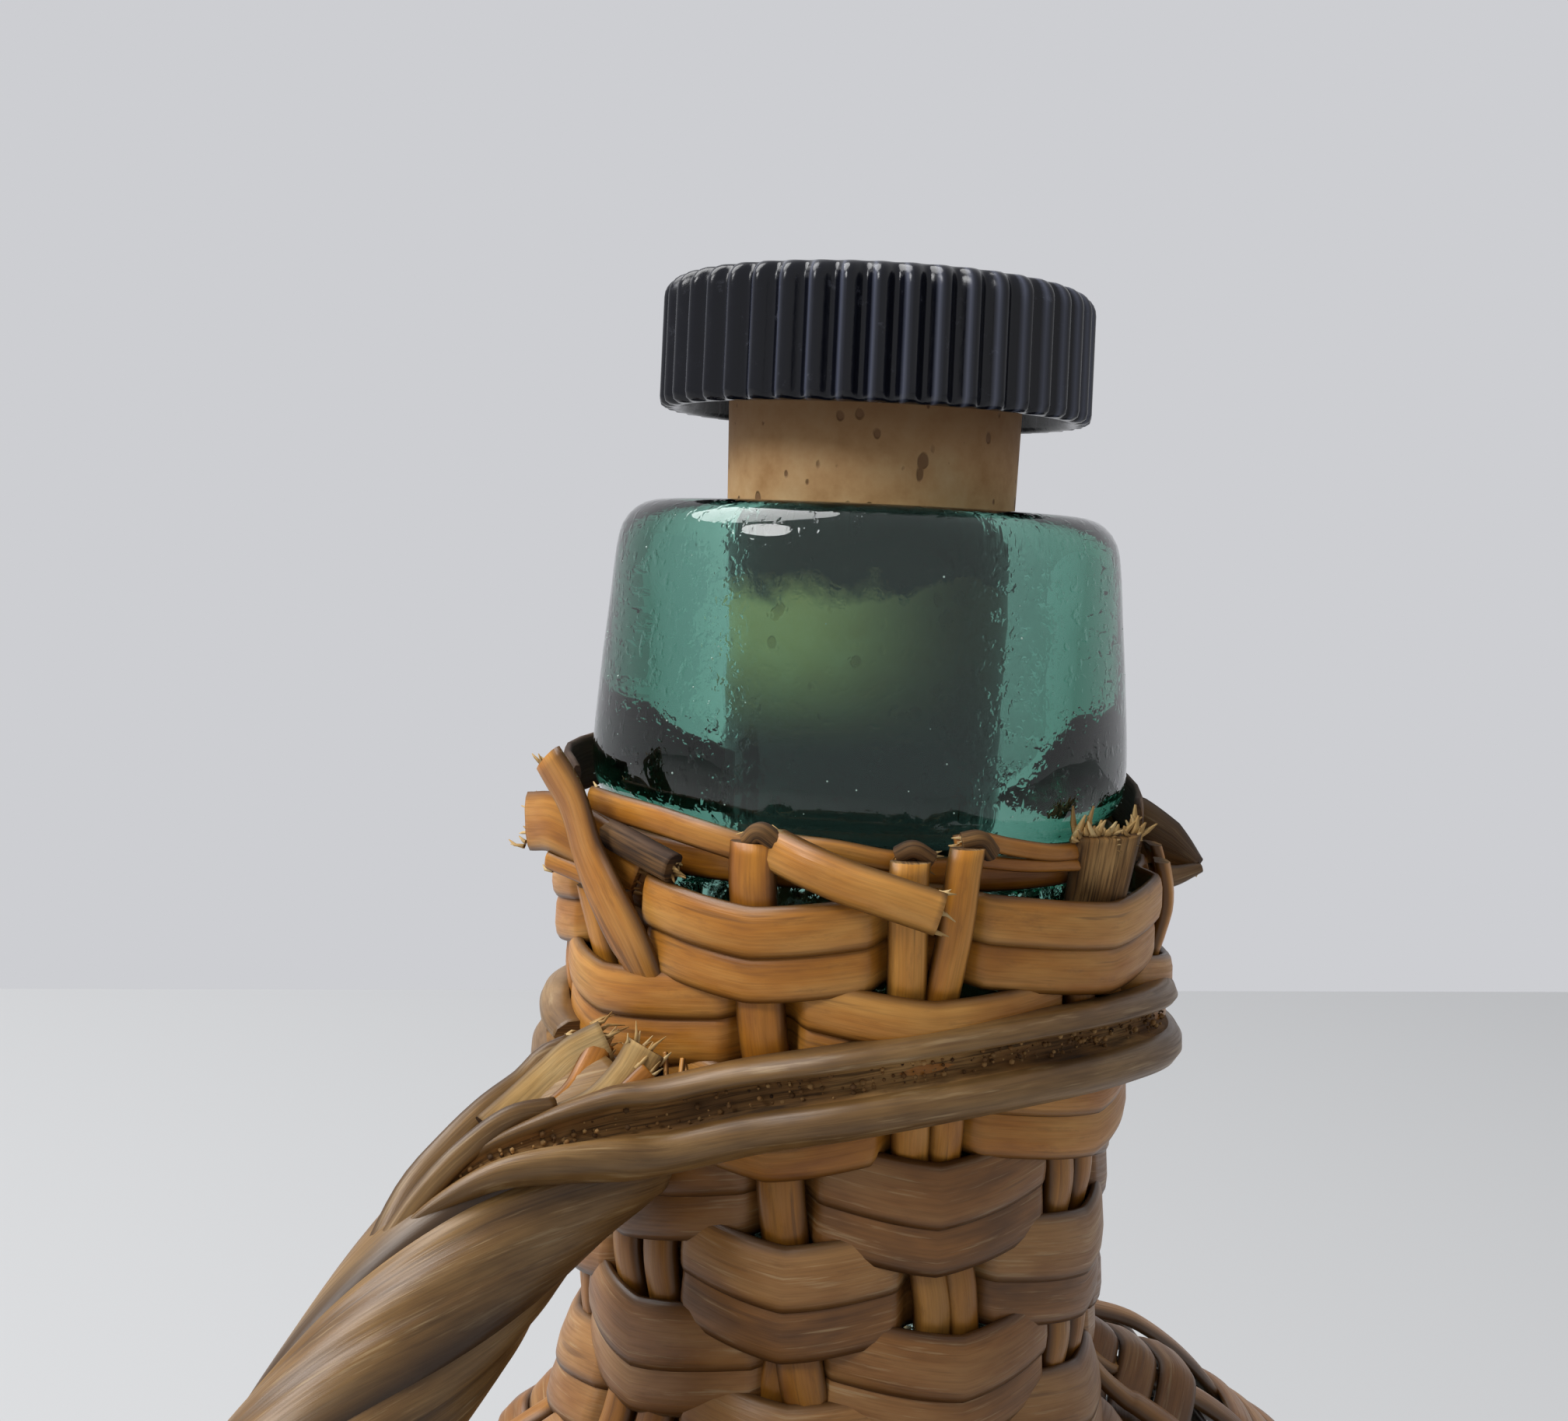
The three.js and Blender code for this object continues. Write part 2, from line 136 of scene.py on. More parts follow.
# Old green bottle glass: clear and slightly wavy, finely pitted, tinted by its thickness
def glassMaterial(name, density, tint):
    material, add = newMaterial(name)
    where = add("TexCoord").outputs["Object"]
    waves = add("TexNoise", {"Vector": where, "Scale": 0.1 / mm})  # 10 mm
    grain = add("TexNoise", {"Vector": where, "Scale": 1.1 / mm})  # 0.9 mm
    pits = add("MapRange", {0: grain, 1: 0.56, 2: 0.72})
    wavy = add("Bump", {"Height": waves, "Strength": 0.3, "Distance": 0.6 * mm})
    pitted = add("Bump", {"Height": pits, "Strength": 0.3, "Distance": 0.08 * mm, "Normal": wavy})
    glass = add("BsdfPrincipled", {"Base Color": (1, 1, 1, 1), "Roughness": 0.02, "IOR": 1.5,
                                   "Transmission Weight": 1.0, "Normal": pitted})
    depth = add("VolumeAbsorption", {"Color": tint, "Density": density})
    add("OutputMaterial", {0: glass, 1: depth})
    return material


# Pressed cork: warm tan, soft mottling, short dark pores, painted shade near the cap, painted light below the
# lip, and painted shade as a dark band under the lip, on one side and at the lower end
def corkMaterial(name):
    material, add = newMaterial(name)
    where = add("TexCoord").outputs["Object"]
    level = add("SeparateXYZ", {0: where}).outputs[2]
    soft = {"interpolation_type": "SMOOTHSTEP"}
    mottle = add("TexNoise", {"Vector": where, "Scale": 0.28 / mm, "Detail": 5.0, "Roughness": 0.62})  # 4 mm
    colour = setRamp(add("ValToRGB", {0: mottle}), [(0.3, "#bb8b56"), (0.52, "#d0a36f"), (0.75, "#dcb785")])
    tall = add("Mapping", {"Vector": where, "Scale": (1.0, 1.0, 0.6)})
    pores = add("TexVoronoi", {"Vector": tall, "Scale": 0.75 / mm})  # 1.3 mm apart
    sizes = add("TexNoise", {"Vector": where, "Scale": 0.35 / mm, "Detail": 1.0})
    limit = add("MapRange", {0: sizes, 1: 0.42, 2: 0.66, 3: 0.04, 4: 0.36})
    gap = add("Math", {0: limit, 1: pores}, operation="SUBTRACT")
    spots = add("MapRange", {0: gap, 2: 0.08, 4: 0.8})
    colour = add("Mix", {0: spots, 6: colour, 7: linear("#6e4a2a")}, **rgba)
    sunk = add("Bump", {"Height": spots, "Strength": 0.6, "Distance": 0.3 * mm}, invert=True)
    # painted shade: darker near the cap, under its overhang
    capShade = add("MapRange", {0: level, 1: 276.5 * mm, 2: 282.5 * mm, 4: 0.72}, **soft)
    colour = add("Mix", {0: capShade, 6: colour, 7: linear("#6a4728")}, **rgba)
    inside = add("MapRange", {0: level, 1: 274.0 * mm, 2: 275.2 * mm, 3: 1.0, 4: 0.0})  # painted light: the cork is paler below the lip
    # painted light: the cork seen through the glass is screened paler
    colour = add("Mix", {0: inside, 6: colour, 7: linear("#c8a466")}, blend_type="SCREEN", **rgba)
    # painted shade: a dark band just under the lip, and the side away from the light darker, both only below
    # the lip
    uneven = add("Math", {0: mottle, 1: 6 * mm, 2: level}, operation="MULTIPLY_ADD")
    ring = add("MapRange", {0: uneven, 1: 269.5 * mm, 2: 272.5 * mm}, **soft)
    flank = add("VectorMath", {0: where, 1: (0.53, -0.848, 0.0)}, operation="DOT_PRODUCT")
    shaded = add("MapRange", {0: flank, 1: -5 * mm, 2: 7 * mm, 4: 0.93}, **soft)
    darker = add("Math", {0: ring, 1: shaded}, operation="MAXIMUM")
    bandAndSideShade = add("Math", {0: darker, 1: inside}, operation="MULTIPLY")
    colour = add("Mix", {0: bandAndSideShade, 6: colour, 7: linear("#26180c")}, **rgba)
    # painted shade: the cork's lower end is near black, for the dark inside the neck
    lowEndShade = add("MapRange", {0: level, 1: 256 * mm, 2: 265 * mm, 3: 1.0, 4: 0.0}, **soft)
    colour = add("Mix", {0: lowEndShade, 6: colour, 7: linear("#0c0906")}, **rgba)
    body = add("BsdfPrincipled", {"Base Color": colour, "Roughness": 0.75, "Normal": sunk})
    add("OutputMaterial", {0: body})
    return material


# Moulded black plastic: near black with a blue cast, glossy, faintly scuffed, with a painted highlight along
# one side of each rib crest
def plasticMaterial(name):
    material, add = newMaterial(name)
    where = add("TexCoord").outputs["Object"]
    scuffs = add("TexNoise", {"Vector": where, "Scale": 0.5 / mm, "Detail": 6.0, "Roughness": 0.7})  # 2 mm
    rough = add("MapRange", {0: scuffs, 1: 0.4, 2: 0.75, 3: 0.14, 4: 0.32})
    dents = add("Bump", {"Height": scuffs, "Strength": 0.18, "Distance": 0.2 * mm})
    scuffsAndHighlight = add("MapRange", {0: scuffs, 1: 0.62, 2: 0.72, 4: 0.3})
    colour = add("Mix", {0: scuffsAndHighlight, 6: linear("#0b0d16"), 7: linear("#6a6c78")}, **rgba)
    # painted highlight: the edge values lighten one side of each rib crest
    edge = add("Attribute", attribute_name="edge").outputs["Fac"]
    colour = add("Mix", {0: edge, 6: colour, 7: linear("#777c90")}, **rgba)
    body = add("BsdfPrincipled", {"Base Color": colour, "Roughness": rough, "Normal": dents, "IOR": 1.4})
    add("OutputMaterial", {0: body})
    return material


# One even colour, for what is too small or too plain to show a pattern
def plainMaterial(name, colour, roughness):
    material, add = newMaterial(name)
    body = add("BsdfPrincipled", {"Base Color": linear(colour), "Roughness": roughness})
    add("OutputMaterial", {0: body})
    return material


greenGlass = glassMaterial("green bottle glass", 105.0, (0.2, 0.606, 0.505, 1.0))
cork = corkMaterial("pressed cork")
blackPlastic = plasticMaterial("moulded black plastic")
caneNeck = caneMaterial("split cane, honey", "#844b14", "#b17226", "#c89046")
# weathered cane, its colours also darkened as painted shade for the lower neck rows and the body
caneWeatheredAndShaded = caneMaterial("split cane, weathered", "#5d3b19", "#885a2a", "#a37745", worn=0.35)
# its colour is painted darker low down, as shade
caneStake = caneMaterial("split cane, dark skin", "#965a18", "#c58129", "#d89a46", paintedLowShade=0.5)
caneHandle = caneMaterial(
    "whole cane, greyed", "#52381b", "#765730", "#957447", fibre=0.24, stain=0.25, worn=0.3)
canePith = caneMaterial(
    "cane pith, torn", "#4a3016", "#8a6334", "#c09860", fibre=0.7, roughness=0.75, stain=0.6)
caneFibre = caneMaterial(
    "cane fibres, raw", "#94703e", "#c09a5e", "#dcc08a", fibre=0.2, roughness=0.6, stain=0.1)
paleSeed = plainMaterial("pale seeds in the glass", "#b9cfc6", 0.3)
print("stage: materials made")


# Mesh helpers, in mm until the vertices are placed

upward = np.array([0.0, 0.0, 1.0])


def newBmesh():
    bm = bmesh.new()
    bm.loops.layers.uv.new("UVMap")
    bm.verts.layers.float.new("tone")
    bm.verts.layers.float.new("edge")
    return bm


# Places a grid's vertices, with uv in mm, one tone for the whole grid and an edge value for each column
def addGrid(bm, points, across, along, tone=0.5, materialIndex=0, edge=None):
    rows, cols = points.shape[:2]
    made = bmesh.ops.create_grid(bm, x_segments=cols - 1, y_segments=rows - 1, size=0.5)["verts"]
    uv = bm.loops.layers.uv["UVMap"]
    toneLayer = bm.verts.layers.float["tone"]
    edgeLayer = bm.verts.layers.float["edge"]
    for number, (vert, place) in enumerate(zip(made, points.reshape(-1, 3) * mm)):
        row, col = divmod(number, cols)
        vert.co = place
        vert[toneLayer] = tone
        vert[edgeLayer] = 0.0 if edge is None else edge[col]
        for loop in vert.link_loops:
            loop[uv].uv = (across[col], along[row])
    if materialIndex:
        for face in {face for vert in made for face in vert.link_faces}:
            face.material_index = materialIndex


# Closes the seams and open ends, and makes the piece that rides on a body and stands for nodes
def makeObject(name, bm, materials, nodes, body="flask"):
    bmesh.ops.remove_doubles(bm, verts=bm.verts[:], dist=0.0005 * mm)
    before = set(bm.faces)
    bmesh.ops.holes_fill(bm, edges=[edge for edge in bm.edges if edge.is_boundary], sides=0)
    for face in bm.faces:
        face.smooth = face in before
        if face not in before:
            face.material_index = min(1, len(materials) - 1)  # cut ends show the second material
    bmesh.ops.recalc_face_normals(bm, faces=bm.faces[:])
    obj = linkMesh(name, bm, materials)
    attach(obj, body)
    if nodes:
        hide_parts(*nodes)


def linkMesh(name, bm, materials):
    mesh = bpy.data.meshes.new(name)
    bm.to_mesh(mesh)
    bm.free()
    for material in materials:
        mesh.materials.append(material)
    obj = bpy.data.objects.new(name, mesh)
    scene.collection.objects.link(obj)
    return obj


def unit(vectors):
    return vectors / np.linalg.norm(vectors, axis=-1, keepdims=True)


# Two directions turned together in their own plane, the first away from the second
def turned(first, second, degrees):
    c, s = math.cos(math.radians(degrees)), math.sin(math.radians(degrees))
    return first * c - second * s, second * c + first * s


# A centripetal curve through all the points
def curveThrough(points, perSpan=40):
    given = np.asarray(points, float)
    padded = np.vstack([2 * given[0] - given[1], given, 2 * given[-1] - given[-2]])
    parts = []
    t = np.linspace(0, 1, perSpan, endpoint=False)[:, None]
    for i in range(len(given) - 1):
        p0, p1, p2, p3 = padded[i:i + 4]
        d0, d1, d2 = (max(np.linalg.norm(b - a), 1e-4) ** 0.5 for a, b in ((p0, p1), (p1, p2), (p2, p3)))
        m1 = ((p1 - p0) / d0 - (p2 - p0) / (d0 + d1) + (p2 - p1) / d1) * d1
        m2 = ((p2 - p1) / d1 - (p3 - p1) / (d1 + d2) + (p3 - p2) / d2) * d1
        bend = 3 * (p2 - p1) - 2 * m1 - m2
        parts.append(p1 + m1 * t + bend * t ** 2 + (2 * (p1 - p2) + m1 + m2) * t ** 3)
    return np.vstack(parts + [given[-1:]])


def lengthsAlong(path):
    return np.concatenate([[0], np.cumsum(np.linalg.norm(np.diff(path, axis=0), axis=1))])


def evenly(path, count):
    lengths = lengthsAlong(path)
    goals = np.linspace(0, lengths[-1], count)
    return np.stack([np.interp(goals, lengths, path[:, k]) for k in range(path.shape[1])], axis=1)


def tangents(path):
    return unit(np.gradient(path, axis=0))


def smooth(value, low, high):
    t = np.clip((np.asarray(value, float) - low) / (high - low), 0, 1)
    return t * t * (3 - 2 * t)


def stripSection(sides, power=3.0):
    angle = (np.arange(sides + 1) + 0.5) * fullTurn / sides
    ring = np.stack([np.cos(angle), np.sin(angle)], axis=1)
    return np.sign(ring) * np.abs(ring) ** (2 / power)


groove = {"width": 0.045, "depth": 0.35}  # shares of a strip's half width and half thickness


# Sweeps a rounded strip section along points with a direction across it and one out of it
def addStrip(bm, points, wide, out, width, thickness, tone=0.5, camber=0.0, closed=False, sides=12,
             materialIndex=0, section=None, splits=()):
    wide, out = (np.broadcast_to(way, points.shape)[:, None] for way in (wide, out))
    shape = stripSection(sides) if section is None else section
    grooves = np.zeros(len(shape))
    for place in splits:
        grooves += np.exp(-((shape[:, 0] - place) / groove["width"]) ** 2) * (shape[:, 1] > 0)
    rise = shape[:, 1] + camber * (1 - shape[:, 0] ** 2) - groove["depth"] * grooves
    w = np.broadcast_to(width, len(points))[:, None, None] / 2
    h = np.broadcast_to(thickness, len(points))[:, None, None] / 2
    grid = points[:, None] + wide * shape[None, :, :1] * w + out * rise[None, :, None] * h
    if closed:
        grid = np.concatenate([grid, grid[:1]])
    edge = None
    if section is None and sides > 4:  # dirt and painted shade lie along the edges, under the strip and in its grooves
        edge = np.maximum(np.abs(shape[:, 0]), np.where(shape[:, 1] < -0.2, 1.0, 0.0))
        edge = np.maximum(edge, grooves)
    across = shape[:, 0] * float(np.mean(width)) / 2
    addGrid(bm, grid, across, lengthsAlong(grid.mean(axis=1)), tone, materialIndex, edge)


# A small ball
def addBall(bm, place, radius):
    matrix = Matrix.Translation(Vector(place) * mm)
    return bmesh.ops.create_icosphere(bm, subdivisions=1, radius=radius * mm, matrix=matrix)["verts"]


# Slow seeded waver along a closed or open strip
def waver(rng, share, amount, waves=(1, 2, 3, 5)):
    total = sum(rng.normal() * np.sin(fullTurn * (k * share + rng.random())) / k ** 0.5 for k in waves)
    return amount * total / 2


# The bottle: half width, half thickness and level up the outside, then radius and level round the collar
bottle = {
    "form": [[50, 25, 11], [66, 34, 17], [85, 42, 42], [96, 46, 92], [91, 45, 138], [74, 39.5, 171],
             [52, 30.5, 187.5], [34, 23.6, 195.5], [21, 19.4, 200.5], [17, 17, 208], [16.9, 16.9, 217],
             [17.3, 17.3, 232], [18.8, 18.8, 250]],
    "collar": [[18.9, 250.2], [19.5, 250.8], [20.6, 251.8], [21.3, 253.2], [21.5, 255], [21.2, 261],
               [20.7, 267], [20.35, 271.2], [20.0, 273], [19.1, 274.3], [17.8, 275], [15.6, 275.1],
               [13.4, 275], [12.5, 274.7], [12.0, 274], [11.85, 272.5], [11.3, 252], [11.3, 250],
               [12.0, 243]],
    "wall": 3.4, "boreEnd": 234, "around": 144,
}
form = evenly(curveThrough(bottle["form"]), 1201)
formShares = np.linspace(0, 1, len(form))


def formAt(share):
    return [np.interp(share, formShares, form[:, k]) for k in range(3)]


def shareAt(level):
    return np.interp(level, form[:, 2], formShares)


def ovalAt(a, b, z, t):
    return np.stack([a * np.cos(t), b * np.sin(t), z + 0 * t], axis=-1)


# Spreads angles round an oval so that the steps along it are about even
def evenAngle(s, a, b):
    return s + 0.5 * ((a - b) / (a + b)) * np.sin(2 * s)


def glassPoint(s, share):
    a, b, z = formAt(np.clip(share, 0, 1))
    return ovalAt(a, b, z, evenAngle(s, a, b))


# The jacket's slack: at the neck's top, most on one side, and where the stakes bow over the shoulder
slack = {
    "neck": 1.2, "side": 2.4, "sideAngle": 305.0, "sideSpread": 22.0, "neckStart": (226, 237),
    "neckEnd": (244, 251), "endShare": 0.7,
    "shoulder": 4.2, "shoulderStart": (184, 196), "shoulderEnd": (198, 207),
}


def slackAt(s, level):
    away = (np.degrees(s) - slack["sideAngle"] + 180) % 360 - 180
    most = slack["neck"] + slack["side"] * np.exp(-(away / slack["sideSpread"]) ** 2)
    top = smooth(level, *slack["neckStart"]) * (1 - slack["endShare"] * smooth(level, *slack["neckEnd"]))
    bow = slack["shoulder"] * np.clip(np.cos(s), 0, 1)  # on the side away from the handle
    bow = bow * smooth(level, *slack["shoulderStart"]) * (1 - smooth(level, *slack["shoulderEnd"]))
    return most * top + bow


# Place above the glass, with the directions round the flask, up it and out of it
def jacketAt(s, share, height, shift=0.0):
    step = 1e-3
    around = unit(glassPoint(s + step, share) - glassPoint(s - step, share))
    up = glassPoint(s, share + step) - glassPoint(s, share - step)
    out = unit(np.cross(around, up))
    along = np.cross(out, around)
    height = np.asarray(height) + slackAt(s, formAt(share)[2])
    point = glassPoint(s, share) + out * height[..., None] + along * np.asarray(shift)[..., None]
    return point, around, along, out


def buildBottle():
    collar = np.array([[r, r, z] for r, z in bottle["collar"]])
    slope = np.gradient(form, axis=0)
    wide, deep = (np.hypot(slope[:, k], slope[:, 2]) for k in (0, 1))
    lift = bottle["wall"] * (slope[:, 0] / wide + slope[:, 1] / deep) / 2
    inner = np.stack([form[:, 0] - bottle["wall"] * slope[:, 2] / wide,
                      form[:, 1] - bottle["wall"] * slope[:, 2] / deep, form[:, 2] + lift], axis=1)
    inner = inner[inner[:, 2] < bottle["boreEnd"]][::20][::-1]
    rows = np.vstack([form[::15][:-1], evenly(curveThrough(collar, 12), 70), inner])
    s = np.linspace(0, fullTurn, bottle["around"] + 1)
    a, b, z = rows[:, :1], rows[:, 1:2], rows[:, 2:3]
    bm = newBmesh()
    addGrid(bm, ovalAt(a, b, z, evenAngle(s[None], a, b)), s * 20, lengthsAlong(rows))
    makeObject("bottleGlass", bm, [greenGlass], ["glass_bottle"])


# Seeds: tiny pale bubbles close under the collar's skin
seeds = {"count": 130, "low": 252.8, "high": 272.0, "small": 0.04, "large": 0.1}


def buildSeeds():
    bm = newBmesh()
    rng = np.random.default_rng(5)
    outline = np.array(bottle["collar"][3:8])
    for _ in range(seeds["count"]):
        angle = rng.random() * fullTurn
        z = seeds["low"] + (seeds["high"] - seeds["low"]) * rng.random() ** 1.6
        size = seeds["small"] + (seeds["large"] - seeds["small"]) * rng.random() ** 2
        r = np.interp(z, outline[:, 1], outline[:, 0])
        addBall(bm, (r * math.cos(angle), r * math.sin(angle), z), size)
    makeObject("glassSeeds", bm, [paleSeed], [])


buildBottle()
buildSeeds()
print("stage: bottle")


# Stopper: the ribbed cap and the cork glued in it
cap = {
    "radius": 17.5, "height": 10.4, "low": 282.5, "ribs": 45, "ribDepth": 0.95, "perRib": 10,
    "rounding": 1.7, "rimWall": 1.9, "roof": 2.2, "scuffsAndHighlight": [0.4, 0.08], "highlightFrom": 7,
}
corkPlug = {"topRadius": 12.1, "lowRadius": 11.0, "low": 252.0, "top": 290.4, "edge": 0.7, "around": 96}


# The cap's outline in rows of radius, share of the rib's depth and level, from the hollow's middle outwards
def capRows():
    low, top = cap["low"], cap["low"] + cap["height"]
    r, bend = cap["radius"], cap["rounding"]
    hollow, roof = r - cap["rimWall"], top - cap["roof"]
    rows = [[0.01, 0, roof], [hollow - 0.3, 0, roof], [hollow, 0, roof - 0.4], [hollow, 0, low + 0.5],
            [hollow + 0.25, 0, low + 0.1], [hollow + 0.5, 0, low], [r - 1.2, 0.1, low],
            [r - 0.5, 0.6, low + 0.05], [r - 0.12, 0.9, low + 0.3], [r, 1.0, low + 0.8]]
    rows += [[r, 1.0, z] for z in np.linspace(low + 2, top - bend - 0.5, 4)]
    for a in np.linspace(0, math.pi / 2, 7):
        depth = 1.0 - 0.75 * (a / (math.pi / 2)) ** 2
        rows.append([r - bend + bend * math.cos(a), depth, top - bend + bend * math.sin(a)])
    rows += [[r - bend - 0.6, 0.05, top], [r - bend - 1.4, 0, top], [r * 0.6, 0, top + 0.05],
             [0.01, 0, top + 0.1]]
    return np.array(rows)


def buildCap():
    rows = capRows()
    count = cap["ribs"] * cap["perRib"]
    angle = np.linspace(0, fullTurn, count + 1)
    dip = cap["ribDepth"] * (0.5 + 0.5 * np.cos(angle * cap["ribs"])) ** 1.3  # broad crests, narrow valleys
    radius = rows[:, :1] - rows[:, 1:2] * dip[None]
    grid = ovalAt(radius, radius, rows[:, 2:3], angle)
    scuffsAndHighlight = np.zeros(cap["perRib"])  # painted highlight: one side of each crest is painted paler
    scuffsAndHighlight[:len(cap["scuffsAndHighlight"])] = cap["scuffsAndHighlight"]
    crests = scuffsAndHighlight[(np.arange(count + 1) + cap["highlightFrom"]) % cap["perRib"]]
    bm = newBmesh()
    addGrid(bm, grid, angle * cap["radius"], lengthsAlong(rows[:, [0, 2]]), edge=crests)
    makeObject("stopperCap", bm, [blackPlastic], ["stopper_cap"], "stopper")


def buildCork():
    bm = newBmesh()
    low, top, edge = corkPlug["low"], corkPlug["top"], corkPlug["edge"]
    small, large = corkPlug["lowRadius"], corkPlug["topRadius"]
    outline = [(0, low), (small - edge, low), (small - 0.2 * edge, low + 0.2 * edge), (small, low + edge)]
    for k in range(1, 11):
        outline.append((small + (large - small) * k / 10, low + edge + (top - low - edge) * k / 10))
    outline.append((0, top))
    verts = [bm.verts.new((x * mm, 0, z * mm)) for x, z in outline]
    edges = [bm.edges.new(pair) for pair in zip(verts, verts[1:])]
    bmesh.ops.spin(bm, geom=verts + edges, cent=(0, 0, 0), axis=(0, 0, 1), angle=fullTurn,
                   steps=corkPlug["around"], use_merge=True)
    makeObject("stopperCork", bm, [cork], ["stopper_cork"], "stopper")


buildCap()
buildCork()
print("stage: stopper")


# Cane jacket: pairs of stakes, rows of two strips on the neck and three on the body
jacket = {
    "pairs": 10, "firstAngle": 13.5, "lean": 10.0, "leanTop": 248.0, "leanEnd": 214.0,
    "spreadTop": 206.0, "spreadBottom": 193.0,
    "neckRows": 7, "neckNodes": 6, "neckTop": 244.4, "neckPitch": 6.25, "honeyRows": 3,
    "neckStrip": [3.7, 3.7, 4.1, 4.8, 5.0, 5.0, 4.8], "neckDip": [0.75, 0.7, 0.95, 1.1, 1.1, 1.05, 0.9],
    "pairLevels": [208, 217.5, 228.7, 240.5, 250], "pairShift": {6: [0, -2.4, -5.5, -5.6, -3.0]},  # degrees
    "pairHalf": {5: 2.2, 6: 3.2}, "usualHalf": 4.0, "neckRadius": 20.0, "neckEase": 0.8,
    "bodyRows": 16, "shoulderRow": 198.0, "bodyTop": 185.5, "bodyBottom": 25.0, "bodyStrip": 3.8,
    "bodyDip": 0.35, "stakeHalf": 2.1, "bodyEase": 4.0,
}
stake = {
    "width": 3.3, "thickness": 1.25, "gap": 0.5, "height": 2.55, "press": 0.45, "bottom": 13.4, "top": 249.6,
    "neckFoot": 187, "onNeck": (203, 214), "flare": 1.1, "flareLevels": (243, 249), "glassTop": 249.9,
    "raised": (245, 249.9), "levels": [206, 217.5, 228.7, 240.5, 250],
    "shifts": {10: [0, 4.5, 4.5, 4.5, 4.5], 11: [0, -5.5, -5.5, -5.5, -5.0], 12: [0, 0, -3.6, -3.6, -2.9],
               13: [0, -4.9, -7.4, -7.6, -3.0]},  # degrees at the levels
    "sizes": {10: (3.0, -0.95), 11: (3.6, 0.15), 12: (2.9, 0.0), 13: (2.7, 0.1)},  # neck width, further out
    "ends": {8: 246.0, 9: 246.5, 10: 246.5, 11: 251.2, 12: 250.6, 13: 251.6, 14: 246.5, 15: 247.0},
}
weaver = {"middle": 2.6, "swing": 1.5, "thickness": 0.95, "rough": 0.1, "widthWaver": 0.05, "tones": 0.6}
weaverKinds = {  # each strip has its place across the row and how much further out it lies
    "neck": {"points": 260, "strips": ((1, 0.12), (-1, -0.05)), "spacing": 0.265 * jacket["neckPitch"],
             "stray": 0.16, "tilt": 6.0, "tone": 0.25, "camber": 0.3, "sides": 12},
    "body": {"points": 320, "strips": ((1, 0), (0, 0), (-1, 0)), "spacing": 1.02 * jacket["bodyStrip"],
             "stray": 0.2, "tilt": 0.0, "tone": 0.2, "camber": 0.45, "sides": 10},
}
pairStep = fullTurn / jacket["pairs"]


def pairAngle(pair, level):
    part = np.clip((jacket["leanTop"] - np.asarray(level)) / (jacket["leanTop"] - jacket["leanEnd"]), 0, 1)
    return np.radians(jacket["firstAngle"] + jacket["lean"] * part) + pair * pairStep


def stakeAngle(index, share):
    b, z = formAt(share)[1:]
    close = (stake["width"] + stake["gap"]) / 2 / (b + stake["height"])
    spread = pairStep / 4 + (close - pairStep / 4) * smooth(z, jacket["spreadBottom"], jacket["spreadTop"])
    return pairAngle(index // 2, z) + (spread if index % 2 else -spread)


def neckCentre(pair, level):
    shifts = jacket["pairShift"].get(pair % jacket["pairs"], [0] * len(jacket["pairLevels"]))
    return pairAngle(pair, level) + np.radians(np.interp(level, jacket["pairLevels"], shifts))


# The rows' places up the form: even steps on the neck, and on the body, with the shoulder's row last
def neckShares():
    return [shareAt(jacket["neckTop"] - i * jacket["neckPitch"]) for i in range(jacket["neckRows"])]


def bodyShares():
    fine = np.linspace(shareAt(jacket["bodyTop"]), shareAt(jacket["bodyBottom"]), 401)
    lengths = lengthsAlong(np.stack(formAt(fine)[1:], axis=1))
    even = np.interp(np.linspace(0, lengths[-1], jacket["bodyRows"]), lengths, fine)
    return list(even) + [shareAt(jacket["shoulderRow"])]


rowShares = {"neck": neckShares(), "body": bodyShares()}


# A row's height and fold at angles s: in at -1 where it goes under, out at 1 and folded where it goes over
def weaveAt(s, angles, halves, overs, radius, ease):
    sign = np.array([1.0 if over else -1.0 for over in overs])
    phase = np.interp(s, angles, np.arange(len(angles)))
    wave = np.interp(phase, np.arange(len(angles)), sign)
    soft = np.sin(wave * math.pi / 2)
    clear = np.ones_like(s)
    for angle, half, over in zip(angles, halves, overs):
        if not over:
            clear = np.minimum(clear, smooth(np.abs(s - angle) * radius, half - 0.9, half + ease))
    return clear * (1.55 + 0.45 * soft) - 1, 0.15 * soft + 0.85 * wave


# The strips of one row, side by side
def addWeavers(bm, rng, kind, share, s, weave, stripWidth, dip):
    bulge, fold = weave
    turn = s / fullTurn
    for strip, further in kind["strips"]:
        shift = strip * kind["spacing"] - dip * fold + waver(rng, turn, kind["stray"])
        height = weaver["middle"] + weaver["swing"] * bulge + waver(rng, turn, weaver["rough"]) + further
        point, around, along, out = jacketAt(s, share + 0 * s, height, shift)
        width = stripWidth * (1 + waver(rng, turn, weaver["widthWaver"]))
        wide, out = turned(along, out, kind["tilt"])
        tone = kind["tone"] + weaver["tones"] * rng.random()
        addStrip(bm, point, wide, out, width, weaver["thickness"], tone=tone, camber=kind["camber"],
                 closed=True, sides=kind["sides"])


def ringAngles(count):
    return np.linspace(0, fullTurn, count, endpoint=False)


